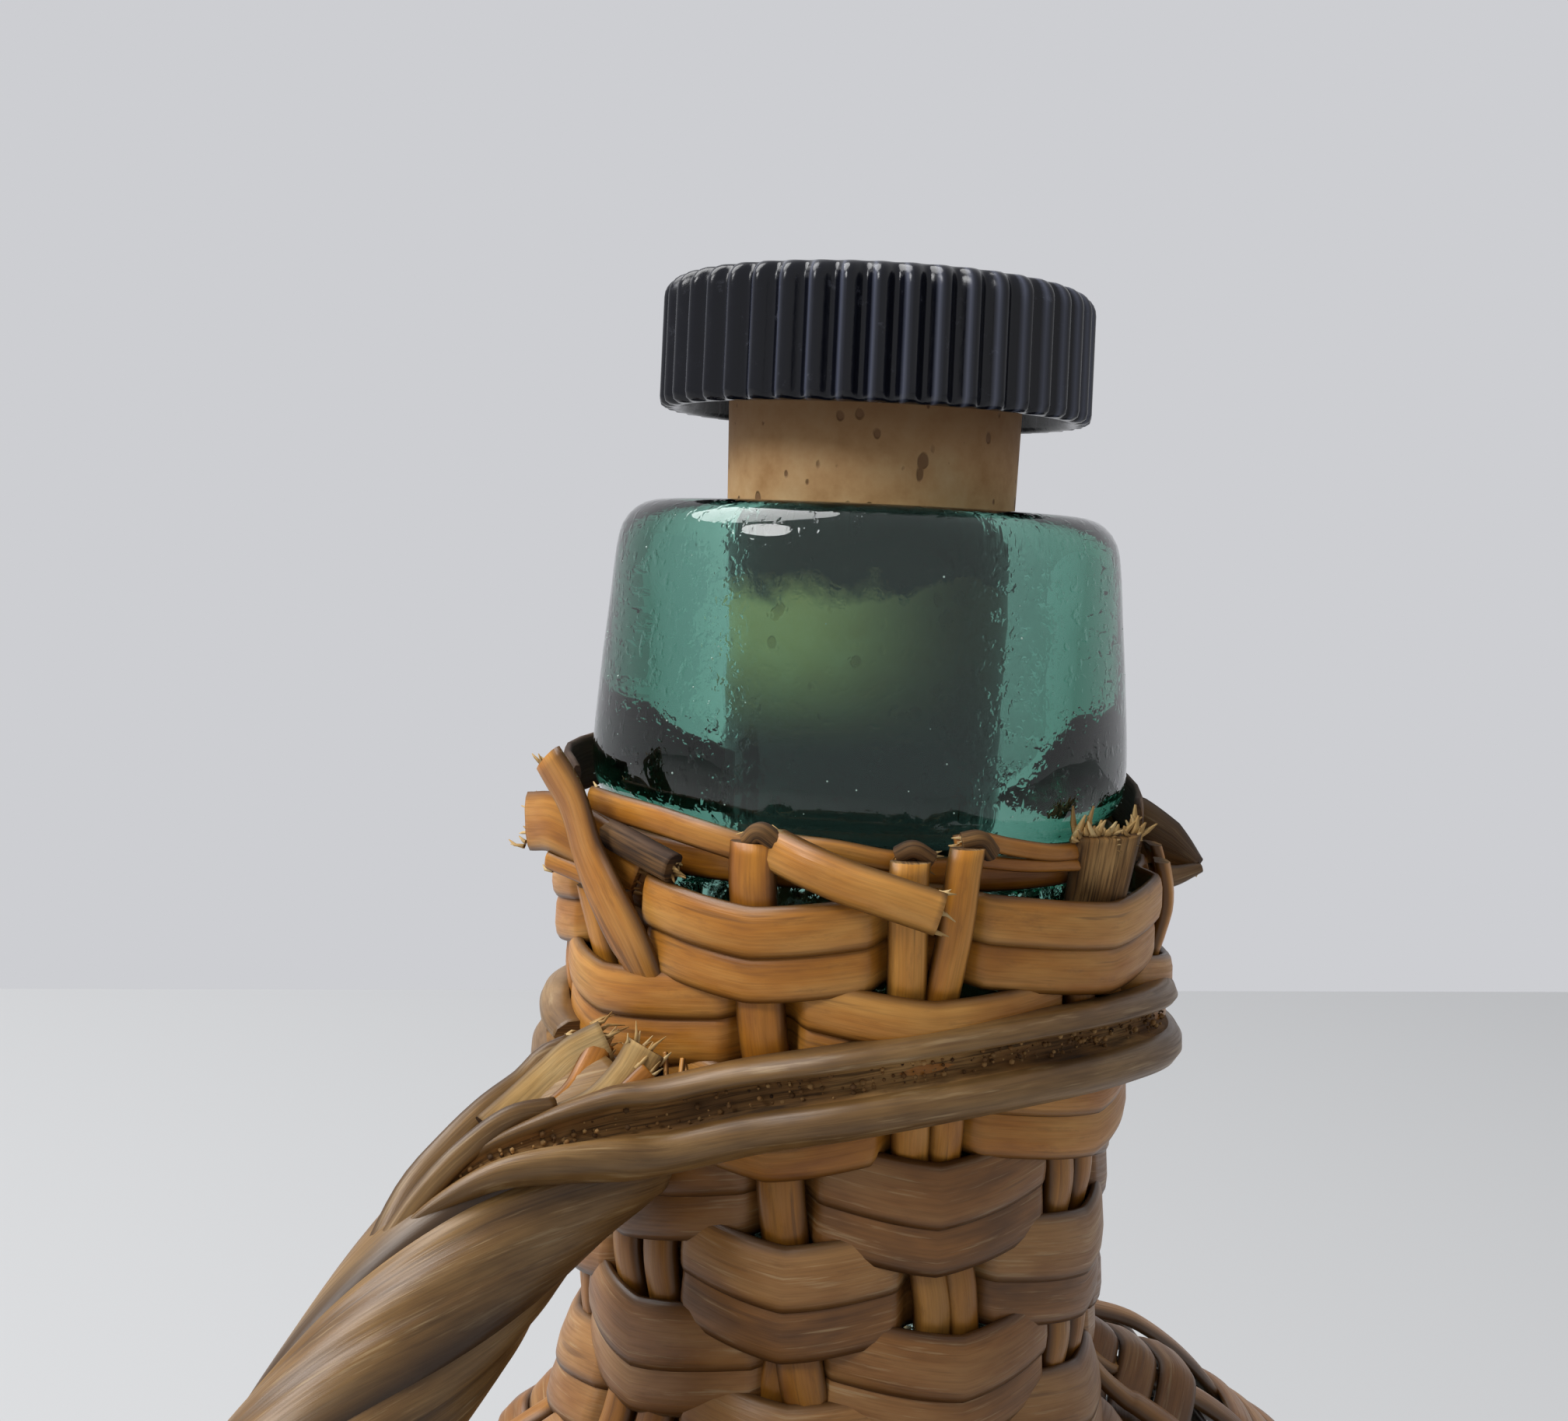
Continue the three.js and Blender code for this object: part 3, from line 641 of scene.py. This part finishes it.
def buildNeckRow(i):
    bm = newBmesh()
    kind, share = weaverKinds["neck"], rowShares["neck"][i]
    level = formAt(share)[2]
    s = ringAngles(kind["points"])
    pairs = range(-2, jacket["pairs"] + 2)  # two more at each end, for the seam
    halves = [jacket["pairHalf"].get(k % jacket["pairs"], jacket["usualHalf"]) for k in pairs]
    weave = weaveAt(s, [neckCentre(k, level) for k in pairs], halves, [(k + i) % 2 == 1 for k in pairs],
                    jacket["neckRadius"], jacket["neckEase"])
    addWeavers(bm, np.random.default_rng(100 + i), kind, share, s, weave,
               jacket["neckStrip"][i], jacket["neckDip"][i])
    nodes = [f"neck_row_{i + 1}"] if i < jacket["neckNodes"] else []  # the lowest row has no solid
    # the rows below the upper ones take the darker cane, which carries painted shade
    material = caneNeck if i < jacket["honeyRows"] else caneWeatheredAndShaded
    makeObject(f"neckRow{i + 1}", bm, [material], nodes)


def buildBodyRow(i):
    bm = newBmesh()
    kind, share = weaverKinds["body"], rowShares["body"][i]
    onBody = i < jacket["bodyRows"]  # the last one is the row on the shoulder, which has no solid
    first = i if onBody else 1
    s = ringAngles(kind["points"])
    stakes = range(-4, 2 * jacket["pairs"] + 4)
    weave = weaveAt(s, [stakeAngle(k, share) for k in stakes], [jacket["stakeHalf"]] * len(stakes),
                    [(k + first) % 2 == 0 for k in stakes], sum(formAt(share)[:2]) / 2, jacket["bodyEase"])
    addWeavers(bm, np.random.default_rng(200 + i), kind, share, s, weave,
               jacket["bodyStrip"], jacket["bodyDip"])
    nodes = [f"body_row_{i + 1:02d}"] if onBody else []
    makeObject(f"bodyRow{i + 1:02d}", bm, [caneWeatheredAndShaded], nodes)


# 1 where a row goes over the stake and presses it in, -1 where the stake rides over the row
def pressOn(index, share):
    rows = [(place, 1 if (i % 2 == 1) == (index // 2 % 2 == 0) else -1)
            for i, place in enumerate(rowShares["neck"])]
    rows += [(place, 1 if (i % 2 == 0 and i < jacket["bodyRows"]) == (index % 2 == 0) else -1)
             for i, place in enumerate(rowShares["body"])]
    rows.sort()
    return np.interp(share, [row[0] for row in rows], [row[1] for row in rows])


def buildStake(index):
    rng = np.random.default_rng(300 + index)
    bm = newBmesh()
    top = stake["ends"].get(index, stake["top"] + rng.normal() * 0.4)
    ends = stake["bottom"], stake["neckFoot"], min(top, stake["glassTop"])
    low, middle, high = (shareAt(level) for level in ends)
    share = np.concatenate([np.linspace(low, middle, 130, endpoint=False), np.linspace(middle, high, 110)])
    level = formAt(share)[2]
    onNeck = smooth(level, *stake["onNeck"])
    neckWidth, further = stake["sizes"].get(index, (stake["width"], 0.0))
    height = stake["height"] - stake["press"] * np.sin(pressOn(index, share) * math.pi / 2)
    height = height + stake["flare"] * smooth(level, *stake["flareLevels"]) + further * onNeck
    shifts = stake["shifts"].get(index, [0] * len(stake["levels"]))
    angle = stakeAngle(index, share) + np.radians(np.interp(level, stake["levels"], shifts))
    point, around, along, out = jacketAt(angle, share, height)
    point[:, 2] += max(top - stake["glassTop"], 0) * smooth(level, *stake["raised"])
    width = stake["width"] + (neckWidth - stake["width"]) * onNeck
    width = width * (1 + waver(rng, np.linspace(0, 1, len(share)), weaver["widthWaver"]))
    tone = 0.2 + weaver["tones"] * rng.random()
    addStrip(bm, point, around, out, width, stake["thickness"], tone=tone, camber=0.5, sides=10)
    makeObject(f"stake{index + 1:02d}", bm, [caneStake, canePith], [f"stake_{index + 1:02d}"])


for i in range(jacket["neckRows"]):
    buildNeckRow(i)
for i in range(jacket["bodyRows"] + 1):
    buildBodyRow(i)
for index in range(2 * jacket["pairs"]):
    buildStake(index)
print("stage: woven jacket")


# Rim strip, the split cane that ties the handle, and the handle's twisted canes
rim = {
    "radius": 20.3, "level": 249.4, "width": 2.6, "thickness": 1.2,
    "front": ((135, 160), (262, 285)), "frontInward": 0.5, "frontDrop": 0.7,  # degrees where it sits lower
}
binding = {  # degrees round, radius and level along it; mm across it and out of it
    "path": [[168.4, 42.9, 224.6], [169.4, 41.7, 226.2], [170.8, 39.9, 227.9], [173.3, 37.0, 229.8],
             [176.5, 33.4, 230.7], [180, 29.8, 231.1], [184.5, 27.0, 231.4], [196, 24.4, 232.8],
             [213, 23.9, 234.3], [240, 23.9, 236.0], [266, 24.2, 236.3], [290, 25.0, 236.0],
             [330, 24.9, 235.4], [375, 24.0, 234.8], [420, 23.5, 234.0], [470, 23.5, 233.2],
             [500, 23.6, 232.6], [511, 23.8, 232.2]],
    "section": [[-3.2, -1.0], [-3.3, 0.2], [-2.9, 1.3], [-2.1, 1.85], [-1.2, 1.8], [-0.6, 1.4], [-0.35, 0.7],
                [-0.2, -0.3], [0.5, -0.5], [1.2, -0.35], [1.5, 0.4], [1.65, 1.1], [2.0, 1.35], [2.6, 1.1],
                [3.1, 0.3], [3.2, -0.9], [0.0, -1.3]],
    "groove": (6, 10), "taper": 24, "tip": 0.12, "onRope": (24.5, 31),
    "grains": 620, "grainRange": (4, 150), "grainSmall": 0.07, "grainMore": 0.19,
}
handle = {  # radius and level along it
    "form": [[24.5, 229.6], [30, 227], [36.5, 223], [45.5, 216.4], [60, 207], [74, 197.5], [83.3, 187.5],
             [83.6, 179.6], [78.4, 174.5]],
    "angle": 168.0, "strands": 4, "offset": 3.0, "lay": 76.0, "wide": 9.2, "thick": 2.1, "camber": 2.2,
    "firstTurn": 0.144, "lift": 10.0, "side": [0.1045, 0.9945, 0.0],
    "splits": [[-0.28, 0.4], [0.12], [-0.42, 0.3], [0.05, 0.62]],  # share of each strap's half width
}


def cylinderPath(points):
    angle, radius, level = points.T
    return ovalAt(radius, radius, level, np.radians(angle))


def buildRim():
    bm = newBmesh()
    rng = np.random.default_rng(7)
    degrees = np.linspace(0, 360, 120, endpoint=False)
    s = np.radians(degrees)
    start, end = rim["front"]
    front = smooth(degrees, *start) * (1 - smooth(degrees, *end))
    out = ovalAt(1, 1, 0, s)
    point = out * (rim["radius"] - rim["frontInward"] * front)[:, None]
    point[:, 2] = rim["level"] + waver(rng, s / fullTurn, 0.2) - rim["frontDrop"] * front
    addStrip(bm, point, upward, out, rim["width"], rim["thickness"], tone=0.05, camber=0.3, closed=True)
    makeObject("rimStrip", bm, [caneStake], ["rim_strip"])


def handlePath():
    radius, level = np.array(handle["form"], float).T
    share = smooth(radius, radius[0], radius[6])
    angle = handle["angle"] + (180 - handle["angle"]) * share
    return evenly(curveThrough(ovalAt(radius, radius, level, np.radians(angle))), 160)


# Crumbs of pith left in the binding's split
def addGrains(bm, path, up, out, size):
    rng = np.random.default_rng(13)
    toneLayer = bm.verts.layers.float["tone"]
    for _ in range(binding["grains"]):
        k = rng.integers(*binding["grainRange"])
        aside = up[k] * (1.6 * rng.random() - 0.2) + out[k] * (0.8 * rng.random() - 0.5)
        place = path[k] + aside * size[k] / 2
        radius = binding["grainSmall"] + binding["grainMore"] * rng.random() ** 2
        tone = rng.random()
        for vert in addBall(bm, place, radius):
            vert[toneLayer] = tone
            for face in vert.link_faces:
                face.material_index = 1


def buildBinding():
    bm = newBmesh()
    path = evenly(curveThrough(cylinderPath(np.array(binding["path"], float)), 16), 220)
    tangent = tangents(path)
    rope = handlePath()
    nearest = rope[np.argmin(np.linalg.norm(path[:, None] - rope[None], axis=2), axis=1)]
    onRope = smooth(np.hypot(path[:, 0], path[:, 1]), *binding["onRope"])[:, None]
    radial = unit(unit(path * [1, 1, 0]) * (1 - onRope) + unit(path - nearest) * onRope)
    up = unit(np.cross(radial, tangent))
    out = np.cross(tangent, up)
    shape = np.array(binding["section"] + binding["section"][:1])
    size = 2.0 * np.interp(np.arange(len(path)), [0, binding["taper"]], [binding["tip"], 1.0])
    addStrip(bm, path, up, out, size, size, tone=0.45, section=shape)
    first, last = binding["groove"]
    for number, face in enumerate(bm.faces):
        if first <= number % (len(shape) - 1) < last:
            face.material_index = 1
    addGrains(bm, path, up, out, size)
    makeObject("neckBinding", bm, [caneHandle, canePith], ["neck_binding"])


def buildStrand(index):
    bm = newBmesh()
    centre = handlePath()
    tangent = tangents(centre)
    normal = unit(np.cross(handle["side"], tangent))
    second = np.cross(tangent, normal)
    turns = index / handle["strands"] + lengthsAlong(centre) / handle["lay"] + handle["firstTurn"]
    angle = fullTurn * turns[:, None]
    out = normal * np.cos(angle) + second * np.sin(angle)
    point = centre + out * handle["offset"]
    along = tangents(point)
    wide = unit(np.cross(along, out))
    wide, out = turned(wide, np.cross(wide, along), handle["lift"])  # one edge lies over the next strap
    addStrip(bm, point, wide, out, handle["wide"], handle["thick"], tone=0.3 + 0.13 * index,
             camber=handle["camber"], sides=64, splits=handle["splits"][index])
    makeObject(f"handleStrand{index + 1}", bm, [caneHandle, canePith],
               [f"handle_strand_{index + 1}"])


# Loose and broken ends under the collar and at the handle: degrees round, radius and level along each strip.
# part is 0 for skin, 1 pith, 2 raw fibre, 3 greyed skin; free ignores the slack, tucked hides the first tip
looseEnds = [
    dict(path=[[153.5, 27, 255.3], [157.5, 25.6, 252.3], [160.7, 24.3, 248.4], [166.4, 23.4, 245.2],
               [170.6, 22.6, 242.3], [171.5, 20.9, 239.4]], width=3.9, thick=0.9, tone=0.55, torn=0.5),
    dict(path=[[141, 26.5, 249.8], [150, 25.2, 250.2], [158.6, 23.0, 248.8], [167, 21.4, 247.2]],
         width=4.6, thick=0.7, tone=0.55, torn=1.2, facing=175),
    dict(path=[[148, 25.0, 247.3], [160, 23.0, 246.5]], width=1.4, thick=0.6, tone=0.6, torn=0.5),
    dict(path=[[152, 22.4, 250.2], [165, 22.6, 249.6], [178, 22.3, 248.3]],
         width=2.2, thick=1.5, tone=0.2, torn=1.0, part=1),
    dict(path=[[149.5, 22.3, 251.9], [160, 22.2, 251.8], [172.6, 22.1, 251.5], [183, 22.0, 250.9],
               [192, 21.6, 250.2], [200, 21.4, 249.8]], width=2.1, thick=0.7, tone=0.55, torn=0.6),
    dict(path=[[196, 21.4, 250.8], [208, 21.5, 250.6], [219, 21.4, 250.0], [226, 21.3, 249.9]],
         width=1.5, thick=0.7, tone=0.5, torn=0.2),
    dict(path=[[230, 22.0, 251.3], [234, 22.3, 251.6], [242, 21.7, 251.0], [252, 21.6, 250.4],
               [264, 21.4, 250.2]], width=1.3, thick=0.6, tone=0.4, torn=0.2),
    dict(path=[[232, 21.5, 250.2], [245, 21.4, 249.6], [262, 21.3, 249.2]],
         width=1.0, thick=0.6, tone=0.3, torn=0.2),
    dict(path=[[197.5, 21.9, 250.4], [204, 23.3, 249.7], [211, 24.0, 248.8], [218, 24.5, 248.0],
               [225.5, 24.8, 247.0]], width=3.1, thick=1.5, tone=0.95, torn=0.9),
    dict(path=[[269, 21.0, 243.5], [267, 22.2, 247.5], [264.5, 23.4, 251.6]], width=[4.8, 5.0, 5.4],
         thick=1.4, tone=0.62, torn=0.7, fibres=70, stray=0.7, coarse=1.8, part=1, facing=230, free=True),
    dict(path=[[324, 22.6, 249.9], [318, 24.4, 249.4], [313.5, 27.0, 248.1], [310, 28.9, 246.9]],
         width=[5.6, 5.4, 4.2, 1.2], thick=0.9, tone=0.2, torn=0.3, part=3, facing=222, free=True),
    dict(path=[[309.6, 28.9, 246.7], [308.6, 26.4, 246.0], [306.8, 23.9, 246.2]],
         width=[0.9, 1.8, 2.0], thick=0.9, tone=0.35, torn=0.2, part=3, facing=222, free=True),
    dict(path=[[282, 22.9, 250.9], [310, 22.9, 251.4], [336, 23.2, 253.4], [380, 23.2, 254.4],
               [430, 23.2, 254.0], [480, 23.4, 253.0], [508, 23.8, 252.2]],
         width=4.6, thick=0.8, tone=0.0, torn=0.5, part=1, free=True),
    dict(path=[[192.5, 22.0, 250.9], [195, 22.5, 251.6], [198, 22.2, 250.9]],
         width=1.5, thick=1.2, tone=0.3, torn=0.7, part=1),
    dict(path=[[219.5, 22.1, 250.5], [222, 22.5, 251.0], [225.5, 22.2, 250.3]],
         width=1.3, thick=1.1, tone=0.2, torn=0.6, part=1),
    dict(path=[[231, 22.4, 251.5], [234, 22.7, 251.7], [237, 22.2, 250.7]],
         width=1.4, thick=1.1, tone=0.3, torn=0.7, part=1),
    dict(path=[[170.0, 47.5, 218.5], [168.6, 43.4, 223.6], [167.9, 40.3, 227.8], [167.8, 37.6, 230.0],
               [166.6, 34.2, 231.7], [165.3, 30.6, 233.0], [164.0, 28.4, 234.1], [164.1, 26.1, 234.6]],
         width=2.8, thick=1.0, tone=0.6, torn=1.0, part=3, facing=205, tucked=True),
    dict(path=[[170.1, 35.6, 231.0], [170.0, 33.0, 232.4], [169.2, 30.0, 233.8], [168.5, 27.6, 234.9],
               [170.6, 24.7, 235.9]],
         width=3.2, thick=0.8, tone=0.45, torn=1.6, part=2, facing=205, tucked=True),
    dict(path=[[171.9, 33.3, 231.2], [172.6, 29.8, 232.9], [170.7, 27.3, 234.5], [169.9, 25.6, 235.7]],
         width=2.0, thick=0.7, tone=0.6, torn=1.6, facing=212, tucked=True),
    dict(path=[[173.6, 31.9, 231.2], [176.1, 29.0, 232.3], [177.5, 26.7, 234.2], [178.8, 24.5, 236.1]],
         width=3.0, thick=0.8, tone=0.35, torn=1.5, part=2, facing=212, tucked=True),
    dict(path=[[174.2, 30.8, 231.4], [177.6, 28.2, 232.6], [180.2, 25.6, 234.6]],
         width=1.6, thick=0.6, tone=0.6, torn=1.2, facing=212, tucked=True),
    dict(path=[[168.7, 42.7, 225.0], [169.5, 40.8, 227.7], [170.9, 38.1, 230.5], [172.1, 34.8, 232.3],
               [173.6, 31.9, 232.5]],
         width=1.7, thick=0.9, tone=0.5, torn=0.3, part=3, facing=212, tucked=True),
    dict(path=[[183.4, 25.1, 232.7], [180.8, 23.4, 235.7]], width=0.35, thick=0.3, tone=0.9, torn=0.1),
    dict(path=[[185.0, 24.7, 232.7], [183.3, 22.8, 235.3]], width=0.4, thick=0.3, tone=0.9, torn=0.1),
    dict(path=[[187.1, 24.3, 233.0], [183.6, 22.7, 234.9]], width=0.3, thick=0.3, tone=0.9, torn=0.1),
]
fray = {"perTorn": 9, "root": 0.6, "stray": 0.35, "bend": 0.12, "width": [0.4, 0.3, 0.08],
        "thickness": [0.3, 0.22, 0.06], "slackEnd": (24.5, 26.5)}  # radii over which an end leaves the jacket


# Torn fibres that stand out of one tip of a loose end
def addFibres(bm, rng, end, tip, way, side, width):
    coarse = end.get("coarse", 1.0)
    for _ in range(end.get("fibres", int(end["torn"] * fray["perTorn"]))):
        start = tip + side * (rng.random() - 0.5) * width - way * fray["root"]
        stop = start + way * (fray["root"] + end["torn"] * rng.random())
        stop = stop + rng.normal(size=3) * end.get("stray", fray["stray"])
        fibre = np.stack([start, (start + stop) / 2 + rng.normal(size=3) * fray["bend"], stop])
        addStrip(bm, fibre, side, np.cross(way, side), coarse * np.array(fray["width"]),
                 coarse * np.array(fray["thickness"]), tone=rng.random(), sides=4, materialIndex=2)


def buildLooseEnds():
    bm = newBmesh()
    rng = np.random.default_rng(11)
    for end in looseEnds:
        given = np.array(end["path"], float)
        if not end.get("free"):
            onJacket = 1 - smooth(given[:, 1], *fray["slackEnd"])
            given[:, 1] += slackAt(np.radians(given[:, 0]), given[:, 2]) * onJacket
        path = evenly(curveThrough(cylinderPath(given), 12), 28)
        widths = np.atleast_1d(end["width"])
        width = np.interp(np.linspace(0, 1, len(path)), np.linspace(0, 1, len(widths)), widths)
        tangent = tangents(path)
        out = unit(path * [1, 1, 0])
        if "facing" in end:
            facing = math.radians(end["facing"])
            out = [math.cos(facing), math.sin(facing), 0.0]
        wide = unit(np.cross(tangent, out))
        addStrip(bm, path, wide, np.cross(wide, tangent), width, end["thick"], tone=end["tone"],
                 camber=0.4, materialIndex=end.get("part", 0))
        if not end.get("tucked"):
            addFibres(bm, rng, end, path[0], -tangent[0], wide[-1], width[-1])
        addFibres(bm, rng, end, path[-1], tangent[-1], wide[-1], width[-1])
    makeObject("looseEnds", bm, [caneNeck, canePith, caneFibre, caneHandle], [])


# Two bands of split cane over the handle's lower end, tucked into the body's weave
ties = {
    "bands": [[[-69.5, 14, 172.5], [-75, 12.5, 176], [-83, 8.5, 181], [-88.8, 4, 181.8], [-90.2, 0, 179.8],
               [-88.2, -4.5, 177], [-82, -9.5, 173], [-72.5, -14, 168.5]],
              [[-72.5, 14, 168.5], [-81, 10, 172.5], [-87.8, 5, 177.5], [-91.0, 0, 182.5],
               [-88.4, -4.5, 184.2], [-82.5, -9, 182.5], [-75, -12.5, 177], [-69.5, -14, 172.5]]],
    "width": 3.4, "thickness": 1.0, "centre": [-74.0, 0.0, 177.0],
}


def buildTies():
    bm = newBmesh()
    for k, band in enumerate(ties["bands"]):
        path = evenly(curveThrough(band, 14), 60)
        tangent = tangents(path)
        wide = unit(np.cross(tangent, unit(path - ties["centre"])))
        addStrip(bm, path, wide, np.cross(wide, tangent), ties["width"], ties["thickness"],
                 tone=0.4 + 0.3 * k, camber=0.4)
    makeObject("handleTies", bm, [caneHandle, canePith], [])


buildRim()
buildBinding()
buildTies()
buildLooseEnds()
for index in range(handle["strands"]):
    buildStrand(index)
print("stage: rim, binding and handle")


# Foot ring wrapped in cane, and the mat coiled inside it
foot = {"halfLength": 48.0, "halfDepth": 25.0, "width": 7.0, "height": 7.1, "wraps": 64, "perWrap": 8,
        "sides": 16, "power": 2.8, "ridge": 0.07, "wrapWidth": 4.0, "girth": 300.0 / 14}
mat = {"low": 7.5, "thickness": 3.2, "strip": 4.1, "points": 120, "smallest": 0.5}


def oval(a, b, count):
    t = evenAngle(ringAngles(count), a, b)
    return ovalAt(a, b, 0, t), unit(ovalAt(b, a, 0, t))


def buildFoot():
    bm = newBmesh()
    count = foot["wraps"] * foot["perWrap"]
    centre, out = oval(foot["halfLength"], foot["halfDepth"], count)
    centre[:, 2] = foot["height"] / 2
    shape = stripSection(foot["sides"], foot["power"])
    turn = np.arange(count) / count
    slant = np.arange(len(shape)) / (len(shape) - 1)
    ridge = np.abs(np.sin(math.pi * (foot["wraps"] * turn[:, None] + slant[None]))) ** 0.6
    scale = (1 - foot["ridge"] + foot["ridge"] * ridge)[..., None]
    aside = out[:, None] * (shape[None, :, :1] * scale * foot["width"] / 2)
    grid = centre[:, None] + aside + upward * (shape[None, :, 1:] * scale * foot["height"] / 2)
    grid = np.concatenate([grid, grid[:1]])
    across = foot["girth"] * np.arange(len(shape)) / len(shape)
    addGrid(bm, grid, across, foot["wrapWidth"] * np.arange(len(grid)))
    makeObject("footRing", bm, [caneWeatheredAndShaded], ["foot_ring"])


def buildMat():
    bm = newBmesh()
    inset = foot["width"] / 2 - mat["strip"] / 2
    a, b = foot["halfLength"] + inset, foot["halfDepth"] + inset
    coil = 0
    while b > mat["smallest"]:
        centre, out = oval(a, b, mat["points"])
        centre[:, 2] = mat["low"] + mat["thickness"] / 2
        addStrip(bm, centre, out, upward, mat["strip"], mat["thickness"],
                 tone=0.3 + 0.07 * (coil * 3 % 5), closed=True, sides=10)
        a, b, coil = a - mat["strip"], b - mat["strip"], coil + 1
    makeObject("baseMat", bm, [caneWeatheredAndShaded], ["base_mat"])


buildFoot()
buildMat()
print("stage: foot and mat")


# Studio: pale floor, soft light from above, camera fitted to the photograph; floor in mm, lamps in metres
studio = {
    "azimuth": -58.0, "distance": 158.0, "eyeLevel": 271.0, "roll": 2.6,
    "focal": 2500.0, "pixels": (2016, 1827), "middle": (1117.0, 720.0),  # pixels of the photograph
    "floorStart": 900.0, "floorEnd": 1045.0, "floorHalf": 4000.0, "floorTurn": 11.07,
    "floorColour": "#cbcccd", "skyColour": "#cdced2", "skyLight": 0.42, "skyShown": 1.0,
}
lamps = [
    {"name": "overhead", "place": (-0.5, 1.24, 2.6), "target": (0, 0, 0.2), "size": 2.2, "power": 80.0},
    {"name": "side", "place": (-0.62, 0.22, 0.74), "target": (0, 0, 0.26), "size": 0.3, "power": 2.8},
]
azimuth = math.radians(studio["azimuth"])
ahead = np.array([-math.sin(azimuth), math.cos(azimuth), 0.0])  # from the camera to the flask
beside = np.array([math.cos(azimuth), math.sin(azimuth), 0.0])


def buildFloor():
    bm = newBmesh()
    far, right = turned(ahead, beside, studio["floorTurn"])
    rows = np.array([-studio["floorStart"], studio["floorEnd"]])
    cols = np.array([-studio["floorHalf"], studio["floorHalf"]])
    addGrid(bm, rows[:, None, None] * far + cols[None, :, None] * right, cols, rows)
    bmesh.ops.recalc_face_normals(bm, faces=bm.faces[:])
    linkMesh("floor", bm, [plainMaterial("pale table top", studio["floorColour"], 0.6)])


def addLamp(name, place, target, size, power):
    lamp = bpy.data.lights.new(name, "AREA")
    lamp.shape = "DISK"
    lamp.size = size
    lamp.energy = power
    obj = bpy.data.objects.new(name, lamp)
    obj.location = place
    obj.rotation_euler = (Vector(target) - Vector(place)).to_track_quat("-Z", "Y").to_euler()
    scene.collection.objects.link(obj)


# Lights the flask plainly, and shows the pale background to the camera, through glass and in reflections
def buildWorld():
    world = bpy.data.worlds.new("studio")
    world.use_nodes = True
    tree = world.node_tree
    rays = addNode(tree, "LightPath").outputs
    shown = rays["Is Camera Ray"]
    for kind in ("Is Transmission Ray", "Is Glossy Ray"):
        shown = addNode(tree, "Math", {0: shown, 1: rays[kind]}, operation="MAXIMUM")
    level = addNode(tree, "MapRange", {0: shown, 3: studio["skyLight"], 4: studio["skyShown"]})
    background = tree.nodes["Background"].inputs
    background["Color"].default_value = linear(studio["skyColour"])
    tree.links.new(level.outputs[0], background["Strength"])
    scene.world = world


def buildCamera():
    camera = bpy.data.objects.new("camera", bpy.data.cameras.new("camera"))
    wide, high = studio["pixels"]
    camera.data.lens = camera.data.sensor_width * studio["focal"] / wide
    camera.data.shift_x = (wide / 2 - studio["middle"][0]) / wide
    camera.data.shift_y = (studio["middle"][1] - high / 2) / wide
    camera.data.clip_start = 5 * mm
    camera.location = Vector(upward * studio["eyeLevel"] - ahead * studio["distance"]) * mm
    aim = Vector(ahead).to_track_quat("-Z", "Y")
    camera.rotation_mode = "QUATERNION"
    camera.rotation_quaternion = aim @ Quaternion((0, 0, 1), math.radians(studio["roll"]))
    scene.collection.objects.link(camera)
    scene.camera = camera


buildFloor()
for lamp in lamps:
    addLamp(**lamp)
buildWorld()
buildCamera()
scene.view_settings.view_transform = "Standard"
print("stage: studio")
